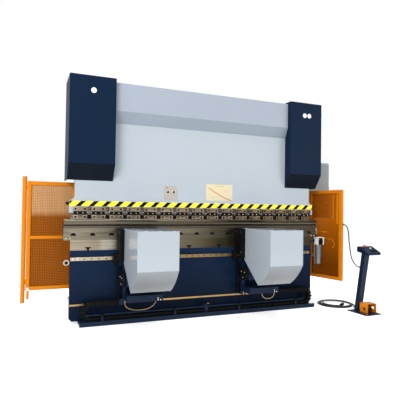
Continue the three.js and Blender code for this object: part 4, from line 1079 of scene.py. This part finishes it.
class PRESS_OT_frame(Operator):
    """Finishes the side frames, covers, hood, tank, pump motor and cylinders."""
    bl_idname = "press_brake.frame"
    bl_label = "Frame and covers"

    def execute(self, context):
        for side in ("left", "right"):
            carried(f"side_frame_{side}", "pale", 1.5)
            carried(f"cover_{side}", "cover", 1.2)
            carried(f"cylinder_{side}", "grey", 1.5, 40)
        carried("hood", "hood", 1.2)
        carried("oil_tank", "pale", 2.0)
        low, high = node_mm("cover_left")
        piece("cylinder_mark_left", disc_marks((-1392,), 2574, low[1] + 0.1), "white", "root")
        piece("cylinder_mark_right", disc_marks((1390, 1462), 2563, low[1] + 0.1), "white", "root")
        self.pump()
        self.tank_fittings()
        return {"FINISHED"}

    def pump(self):
        """Finned motor: a drum with ring fins, a domed fan cowl, a terminal box and its saddle."""
        fins = [(82, -255), (92, -252), (94.5, -248)]
        for start in np.arange(-236, 100, 14.0):
            fins += [(94.5, start), (94.5, start + 6), (84, start + 7.5), (84, start + 12.5)]
        fins += [(94.5, 120), (94.5, 158), (80, 160.5), (79, 192), (74, 198), (30, 199.5), (4, 199.5)]
        drum = turned(fins, "x", (0, 560, 2450), 48)
        box = slab((-120, 520, 2534), (20, 600, 2590), "z", 6, 3)
        saddle = slab((-200, 450.5, 2400), (120, 560, 2500), "z", 4, 2)
        piece("pump_drum", drum, "motor", "root", ("pump_motor",), 30)
        piece("pump_mounting", merged(box, saddle), "grey", "root")
        screws = [(x, y, 2590) for x in (-108, 8) for y in (530, 590)]
        heads = repeated(bolt_head("z", (0, 0, 0), 5, 3, 12), screws)
        piece("pump_box_screws", heads, "black", "root")

    def tank_fittings(self):
        """Filler cap and level glass on the oil tank."""
        cap = turned([(34, 0), (34, 6), (31, 8), (31, 20), (27, 26), (4, 27)], "z", (620, 300, 2600.2), 32)
        glass = slab((700, 448, 2390), (728, 455, 2540), "y", 10, 2)
        piece("tank_cap", cap, "black", "root")
        piece("tank_level_glass", glass, "bright", "root")


# ---------------------------------------------------------------- followers

class PRESS_OT_followers(Operator):
    """Finishes both sheet followers: carriage, housing, crank disc and their small parts."""
    bl_idname = "press_brake.followers"
    bl_label = "Sheet followers"

    def execute(self, context):
        for side, x in (("left", LEFT_FOLLOWER), ("right", RIGHT_FOLLOWER)):
            self.follower(side, x)
        return {"FINISHED"}

    def follower(self, side, x):
        width = 434.0
        carriage, housing = f"carriage_{side}", f"housing_{side}"
        carried(carriage, "navy", 1.5)
        carried(housing, "housing", 1.5)
        top = slab((x + 6, -786, 1058.2), (x + width - 6, -212, 1060.2), "z", 3, 0.6)
        piece(f"follower_top_{side}", top, "slats", housing)
        covers = merged(
            slab((x - 52, -204, 688), (x - 2.2, -28, 1050), "x", 8, 2),
            slab((x - 96, -90, 660), (x - 2.5, -27, 768), "y", 10, 3),
            slab((x - 54, -112, 262), (x - 40, -62, 690), "x", 3, 1),
        )
        piece(f"backbone_cover_{side}", covers, "black", carriage)
        self.disc(side, x)
        posts = [(x + 34, -111.5, 232), (x + 34, -111.5, 250)]
        roller = merged(
            turned([(6, 0), (8.5, 1), (8.5, 44), (6, 46)], "z", (x + 34, -106, 218), 20),
            front_bolts(posts, 5.5, 3.5),
        )
        piece(f"roller_post_{side}", roller, "brass", carriage)
        feet = [(x + width - 70, -301, 272), (x + width - 70, -301, 292), (x + width - 40, -301, 272)]
        piece(f"drive_box_screws_{side}", front_bolts(feet, 7, 4), "bright", carriage)
        corners = ((-60, 720), (-120, 720), (-60, 1010), (-180, 1010), (-180, 760))
        screws = [(x - 54.0, y, z) for y, z in corners]
        piece(f"backbone_screws_{side}", repeated(facing_front(bolt_head("x", (0, 0, 0), 6, 3, 14)), screws),
              "bright", carriage)

    def disc(self, side, x):
        """Crank disc: dished face with a hub and three bright screws on its left side."""
        profile = [(78, 0), (78, -26), (75, -33), (64, -35), (60, -31), (34, -30), (28, -34), (26, -41),
                   (20, -45.8), (3, -46)]
        face = turned(profile[::-1], "x", (x - 3.0, -215, 500), 48)
        piece(f"crank_disc_{side}", face, "black", f"tilt_disc_{side}", (f"tilt_disc_{side}",))
        angle = np.radians([30, 150, 270])
        heads = facing_front(bolt_head("x", (0, 0, 0), 8, 6, 16))
        places = [(x - 33.5, -215 + 46 * math.cos(a), 500 + 46 * math.sin(a)) for a in angle]
        piece(f"crank_screws_{side}", repeated(heads, places), "bright", f"tilt_disc_{side}")


# ---------------------------------------------------------------- cable chains

CHAIN_LEFT = -1370.0
CHAIN_RIGHT = 1410.0
CHAIN_FRONT, CHAIN_BACK = -125.0, -65.0
CHAIN_LOW, CHAIN_HEIGHT, CHAIN_BEND = 30.2, 60.0, 118.0


def chain_link(length):
    """One link from its own start: two bowed side plates, a cross bar over and one under."""
    plate = slab((1.5, 0, 2.0), (length + 4.0, 7, CHAIN_HEIGHT - 2.0), "y", 14, 1.2, 3)
    other = repeated(plate, [(0, CHAIN_BACK - CHAIN_FRONT - 7, 0)])
    far = (length - 8, CHAIN_BACK - CHAIN_FRONT - 6)
    over = slab((6, 6, CHAIN_HEIGHT - 8), (*far, CHAIN_HEIGHT - 2), "y", 2, 0.6, 2)
    under = slab((6, 6, 2), (*far, 8), "y", 2, 0.6, 2)
    return merged(plate, other, over, under)


def chain_run(left, right, bottom):
    """Links side by side from one end of a straight run to the other."""
    sizes = bpy.context.scene.press_brake_sizes
    count = max(2, round((right - left) * MM / sizes.chain_pitch))
    pitch = (right - left) / count
    link = chain_link(pitch - 5.5)
    return repeated(link, [(left + i * pitch, CHAIN_FRONT, bottom) for i in range(count)])


def chain_turn(x, side, pitch=42.0):
    """Links set round half a turn of the chain, each turned to follow the bend."""
    middle = CHAIN_BEND - CHAIN_HEIGHT / 2
    count = round(math.pi * middle / pitch)
    step = 180.0 / count
    centre = (x, 0, CHAIN_LOW + CHAIN_BEND)
    inner_side = 2 * (CHAIN_BEND - CHAIN_HEIGHT) * math.tan(math.radians(step / 2))
    link = chain_link(min(pitch, inner_side + 13.0) - 5.5)
    half = (pitch - 5.5) / 2
    top = repeated(link, [(x - half, CHAIN_FRONT, CHAIN_LOW + 2 * CHAIN_BEND - CHAIN_HEIGHT)])
    return merged(*[turned_copy(top, "y", side * step * (i + 0.5), centre) for i in range(count)])


class PRESS_OT_chains(Operator):
    """Builds both cable chains: upper runs, bends and lower runs."""
    bl_idname = "press_brake.chains"
    bl_label = "Cable chains"

    def execute(self, context):
        upper = CHAIN_LOW + 2 * CHAIN_BEND - CHAIN_HEIGHT
        for side, x, towards in (("left", CHAIN_LEFT, -1), ("right", CHAIN_RIGHT, 1)):
            piece(f"chain_curve_{side}", chain_turn(x, towards), "black", f"chain_bend_{side}",
                  (f"chain_bend_{side}",))
            low, high = node_mm(f"chain_upper_run_{side}")
            run = piece(f"chain_top_{side}", chain_run(low[0], high[0], upper), "black", None,
                        (f"chain_upper_run_{side}",))
            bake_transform(run)
        low, high = node_mm("chain_lower_runs")
        anchor_left, anchor_right = -36.0, 2.0
        for side, start, end in (("left", low[0], anchor_left), ("right", anchor_right, high[0])):
            run = piece(f"chain_floor_{side}", chain_run(start, end, CHAIN_LOW), "black", "root",
                        ("chain_lower_runs",) if side == "left" else ())
            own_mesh(run)
        bracket = merged(
            slab((-36, -136, 30.3), (2, -127, 150), "y", 3, 1),
            slab((-36, -64, 30.3), (2, -60, 150), "y", 3, 1),
            slab((-36, -136, 140), (2, -60, 150), "z", 3, 1),
        )
        piece("chain_anchor", bracket, "navy", "root")
        return {"FINISHED"}


# ---------------------------------------------------------------- guards and cabinet

class PRESS_OT_guards(Operator):
    """Builds the side guards with their tubes, perforated sheet, tinted window and fittings."""
    bl_idname = "press_brake.guards"
    bl_label = "Side guards"

    def execute(self, context):
        self.left()
        self.right()
        return {"FINISHED"}

    def left(self):
        """Left leaf: four round-cornered tubes, a middle bar, the outer post and the sheet between them."""
        hinge, y, root, far, tube = -1500.0, 304.0, 14.0, 545.0, 44.0
        bottom, top = 344.0, 1576.0
        outer, inner = hinge - far, hinge - root
        tubes = merged(
            slab((outer, y - 15, bottom), (outer + tube, y + 15, top), "z", 6, 1),
            slab((inner - tube, y - 15, bottom), (inner, y + 15, top), "z", 6, 1),
            slab((outer + 2, y - 14.6, top - tube), (inner - 2, y + 14.6, top - 0.2), "x", 6, 1),
            slab((outer + 2, y - 14.6, bottom + 0.2), (inner - 2, y + 14.6, bottom + tube), "x", 6, 1),
            slab((outer + tube - 4, y - 12, 922), (inner - tube + 4, y - 3, 958), "x", 4, 1),
        )
        piece("guard_left_tubes", tubes, "orange", "guard_left", ("guard_left",))
        post = turned([(20, 206), (23.2, 208), (24, 212), (24, 1620), (23, 1625), (18, 1627)], "z",
                      (hinge - far - 27, y, 0), 32)
        links = merged(
            slab((outer - 27, y - 10, 420), (outer + 10, y + 10, 470), "y", 3, 1),
            slab((outer - 27, y - 10, 1480), (outer + 10, y + 10, 1530), "y", 3, 1),
            slab((outer + 12, y - 10, 246), (outer + 40, y + 10, 350), "y", 4, 1.5),
        )
        piece("guard_left_post", merged(post, links), "orange", "guard_left")
        latch = slab((outer + 10, y - 17.5, 340), (outer + 42, y - 14, 384), "y", 5, 1)
        piece("guard_left_latch", latch, "bright", "guard_left")
        knuckles = merged(*[
            turned([(7.5, z), (9, z + 1.5), (9, z + 57.5), (7.5, z + 59)], "z", (hinge, y, 0), 24)
            for z in (420.5, 1380)
        ], *[slab((hinge - 20, y - 4, z), (hinge - 2, y + 4, z + 59), "y", 2, 0.8) for z in (420.5, 1380)])
        piece("guard_left_knuckles", knuckles, "orange", "guard_left")
        sizes = bpy.context.scene.press_brake_sizes
        low, high = (outer + tube - 3, bottom + tube - 3), (inner - tube + 3, top - tube + 3)
        sheet = perforated(low, high, y + 1.0, 1.5, sizes.hole_pitch / MM, sizes.hole_width / MM)
        piece("guard_left_sheet", sheet, "guard_sheet", "guard_left")
        backing = slab((low[0], y + 6, low[1]), (high[0], y + 8, high[1]), "y", 1, 0.3)
        piece("guard_left_backing", backing, "guard_backing", "guard_left")

    def right(self):
        """Right leaf: the CAD frame with broken edges, the tinted window and its bright fittings."""
        carried("guard_right", "orange", 2.0)
        carried("guard_right_window", "window", 0.5)
        turn, hinge, y = -79.0, 1800.0, 304.0

        def on_leaf(part):
            points, faces = turned_copy(part, "z", turn, (0, 0, 0))
            return points + np.array([hinge, y, 0.0]), faces
        screws = [(130, z) for z in (1240, 1050)] + [(320, 1395), (405, 1210), (290, 1000), (175, 1000)]
        head = facing_front(bolt_head("y", (0, 0, 0), 6, 3, 14))
        piece("window_screws", on_leaf(repeated(head, [(u, -3.0, z) for u, z in screws])), "bright",
              "guard_right")
        bars = merged(
            slab((60, -7, 985), (320, -3.2, 1000), "y", 3, 1),
            slab((430, -8, 1180), (442, -3.2, 1520), "y", 3, 1),
            slab((492, -10, 1110), (524, -3.2, 1530), "y", 3, 1),
        )
        piece("window_strips", on_leaf(bars), "orange", "guard_right")
        path = catmull([(70, -9, 905), (200, -9, 915), (330, -9, 905), (420, -9, 885), (462, -9, 845),
                        (455, -9, 800), (420, -9, 780)], 8)
        piece("window_cable_clip", on_leaf(hose_skin(path, 4.0, 10)), "orange", "guard_right",
              smooth_below=80)


class PRESS_OT_cabinet(Operator):
    """Finishes the electrical cabinet with its door, lamp and edge lips."""
    bl_idname = "press_brake.cabinet"
    bl_label = "Electrical cabinet"

    def execute(self, context):
        carried("cabinet", "grey", 2.0)
        carried("cabinet_door", "grey", 1.5)
        front = 330.0
        dome = [(22, 0), (22, 10), (20, 20), (14, 26), (6, 29), (1, 29.5)]
        lens = facing_front(turned(dome, "y", (0, 0, 0), 28))
        piece("cabinet_lamp", repeated(lens, [(2049, front - 0.1, 1472)]), "red", "root")
        lip = slab((1476, front - 3, 1985), (2144, front - 0.2, 1999), "y", 2, 0.8)
        piece("cabinet_lip", lip, "pale", "root")
        return {"FINISHED"}


# ---------------------------------------------------------------- back gauge, crowning drive

class PRESS_OT_gauge(Operator):
    """Finishes the back gauge and the crowning drive."""
    bl_idname = "press_brake.gauge"
    bl_label = "Back gauge and crowning"

    def execute(self, context):
        carried("gauge_base", "navy", 2.0)
        carried("gauge_beam", "tool_steel", 2.0)
        for side in ("left", "right"):
            carried(f"gauge_finger_{side}", "bright", 1.5)
        self.crowning()
        return {"FINISHED"}

    def crowning(self):
        """Gear motor under a bent white bracket: ringed drum, end cap, gear case and bolts."""
        bracket = merged(
            slab((1668, -68, 915), (1770, 30, 923), "z", 6, 1.2),
            slab((1668, -68, 820), (1676, 30, 921), "x", 6, 1.2),
            slab((1762, -68, 820), (1770, 30, 921), "x", 6, 1.2),
        )
        piece("crowning_bracket", bracket, "white", "root", ("crowning_drive",))
        case = slab((1678, -58, 816), (1760, 20, 905), "y", 14, 4)
        arm = slab((1598.6, 8, 832), (1690, 25.6, 899), "y", 6, 2)
        shaft = turned([(9, 900), (9, 958), (7, 959)], "z", (1701, 18, 0), 20)
        piece("crowning_gear_case", merged(case, arm, shaft), "black", "root")
        drum = [(26, 553), (40, 555), (43, 559), (43, 636), (44, 640), (51, 641), (52, 645)]
        for start in np.arange(652, 800, 16.0):
            drum += [(52, start), (50.6, start + 1.5), (50.6, start + 4.5), (52, start + 6)]
        drum += [(52, 812), (50, 816), (20, 816.5)]
        piece("crowning_motor", turned(drum, "z", (1708, -20, 0), 48), "motor", "root",
              smooth_below=30)
        collars = merged(*[
            front_bolts([(x, -58.0, z) for x in (1692, 1746)], 6, 4) for z in (832, 888)
        ], front_bolts([(1625, 8.2, 850), (1625, 8.2, 884)], 7, 5))
        piece("crowning_bolts", collars, "bright", "root")


# ---------------------------------------------------------------- pedestal

PEDESTAL_PLACE = (1955.8, -630.3)
PEDESTAL_TURN = 2.8
FACE_SLOPE = math.degrees(math.atan2(80, 165))


def on_pedestal(part):
    """From the pedestal's own frame into the machine's."""
    points, faces = turned_copy(part, "z", PEDESTAL_TURN, (0, 0, 0))
    return points + np.array([*PEDESTAL_PLACE, 0.0]), faces


def on_console_face(part, x, y):
    """From a frame that lies on the leaning console face into the machine's."""
    points, faces = turned_copy(part, "x", FACE_SLOPE, (0, 0, 0))
    height = 834 - (58 - y) * math.tan(math.radians(FACE_SLOPE))
    return on_pedestal((points + np.array([x, y, height]), faces))


class PRESS_OT_pedestal(Operator):
    """Finishes the foot-switch pedestal, its console, buttons, pedal guard and pedal."""
    bl_idname = "press_brake.pedestal"
    bl_label = "Pedestal"

    def execute(self, context):
        carried("pedestal", "navy", 1.5)
        carried("console", "navy", 4.0)
        carried("pedal_guard", "orange", 2.5)
        carried("pedal", "black", 1.5)
        mushroom = [
            (8.8, -3), (8.8, 13), (14, 14.5), (18.6, 17), (19, 20), (17.5, 24.5), (13, 28), (7, 29.6), (1, 30),
        ]
        piece("stop_mushroom", on_console_face(turned(mushroom, "z", (0, 0, 0), 32), 36, 40), "red",
              "stop_button", ("stop_button",), 60)
        cap = [(10.8, -3), (10.8, 6.2), (10.0, 7.6), (8.0, 8.0), (1, 7.6)]
        piece("start_cap", on_console_face(turned(cap, "z", (0, 0, 0), 28), 114, 10), "white", "start_button",
              ("start_button",), 40)
        recess = slab((60, -82, 0.1), (180, -26, 1.4), "z", 8, 0.5)
        switch = turned([(10, 0.1), (10, 5), (8.5, 6.5), (1, 6.5)], "z", (160, 4, 0), 24)
        piece("console_recess", on_console_face(recess, 0, 0), "black", "root")
        piece("console_selector", on_console_face(switch, 0, 0), "black", "root")
        feet = [(x, y, 10.0) for x in (-104, 104) for y in (-144, 144)]
        piece("pedestal_bolts", on_pedestal(repeated(bolt_head("z", (0, 0, 0), 9, 6, 16), feet)), "bright",
              "root")
        ribs = merged(*[slab((-10, -84 + 12 * i, 63 - 2.2 * i), (58, -79 + 12 * i, 67.2 - 2.2 * i), "z", 2, 0.6)
                        for i in range(6)])
        piece("pedal_ribs", on_pedestal(ribs), "black", "pedal")
        return {"FINISHED"}


# ---------------------------------------------------------------- panel and registration

OPERATORS = (
    PRESS_OT_stage, PRESS_OT_cords, PRESS_OT_bed, PRESS_OT_ram, PRESS_OT_frame, PRESS_OT_followers,
    PRESS_OT_chains, PRESS_OT_guards, PRESS_OT_cabinet, PRESS_OT_gauge, PRESS_OT_pedestal,
)


class PRESS_PT_panel(Panel):
    """Lists the sizes, the colours and every operator."""
    bl_idname = "PRESS_PT_panel"
    bl_label = "Press Brake"
    bl_space_type = "VIEW_3D"
    bl_region_type = "UI"
    bl_category = "Press Brake"

    def draw(self, context):
        for group in (context.scene.press_brake_sizes, context.scene.press_brake_colours):
            for name in group.__annotations__:
                self.layout.prop(group, name)
        for cls in OPERATORS:
            self.layout.operator(cls.bl_idname)


CLASSES = (PRESS_PG_sizes, PRESS_PG_colours, *OPERATORS, PRESS_PT_panel)


def register():
    for cls in CLASSES:
        bpy.utils.register_class(cls)
    bpy.types.Scene.press_brake_sizes = PointerProperty(type=PRESS_PG_sizes)
    bpy.types.Scene.press_brake_colours = PointerProperty(type=PRESS_PG_colours)


def unregister():
    del bpy.types.Scene.press_brake_sizes
    del bpy.types.Scene.press_brake_colours
    for cls in reversed(CLASSES):
        bpy.utils.unregister_class(cls)


def main():
    register()
    FINISHES.update(make_finishes())
    for cls in OPERATORS:
        group, name = cls.bl_idname.split(".")
        if getattr(getattr(bpy.ops, group), name)() != {"FINISHED"}:
            raise RuntimeError(f"{cls.bl_label} did not finish")


if __name__ == "__main__":
    main()
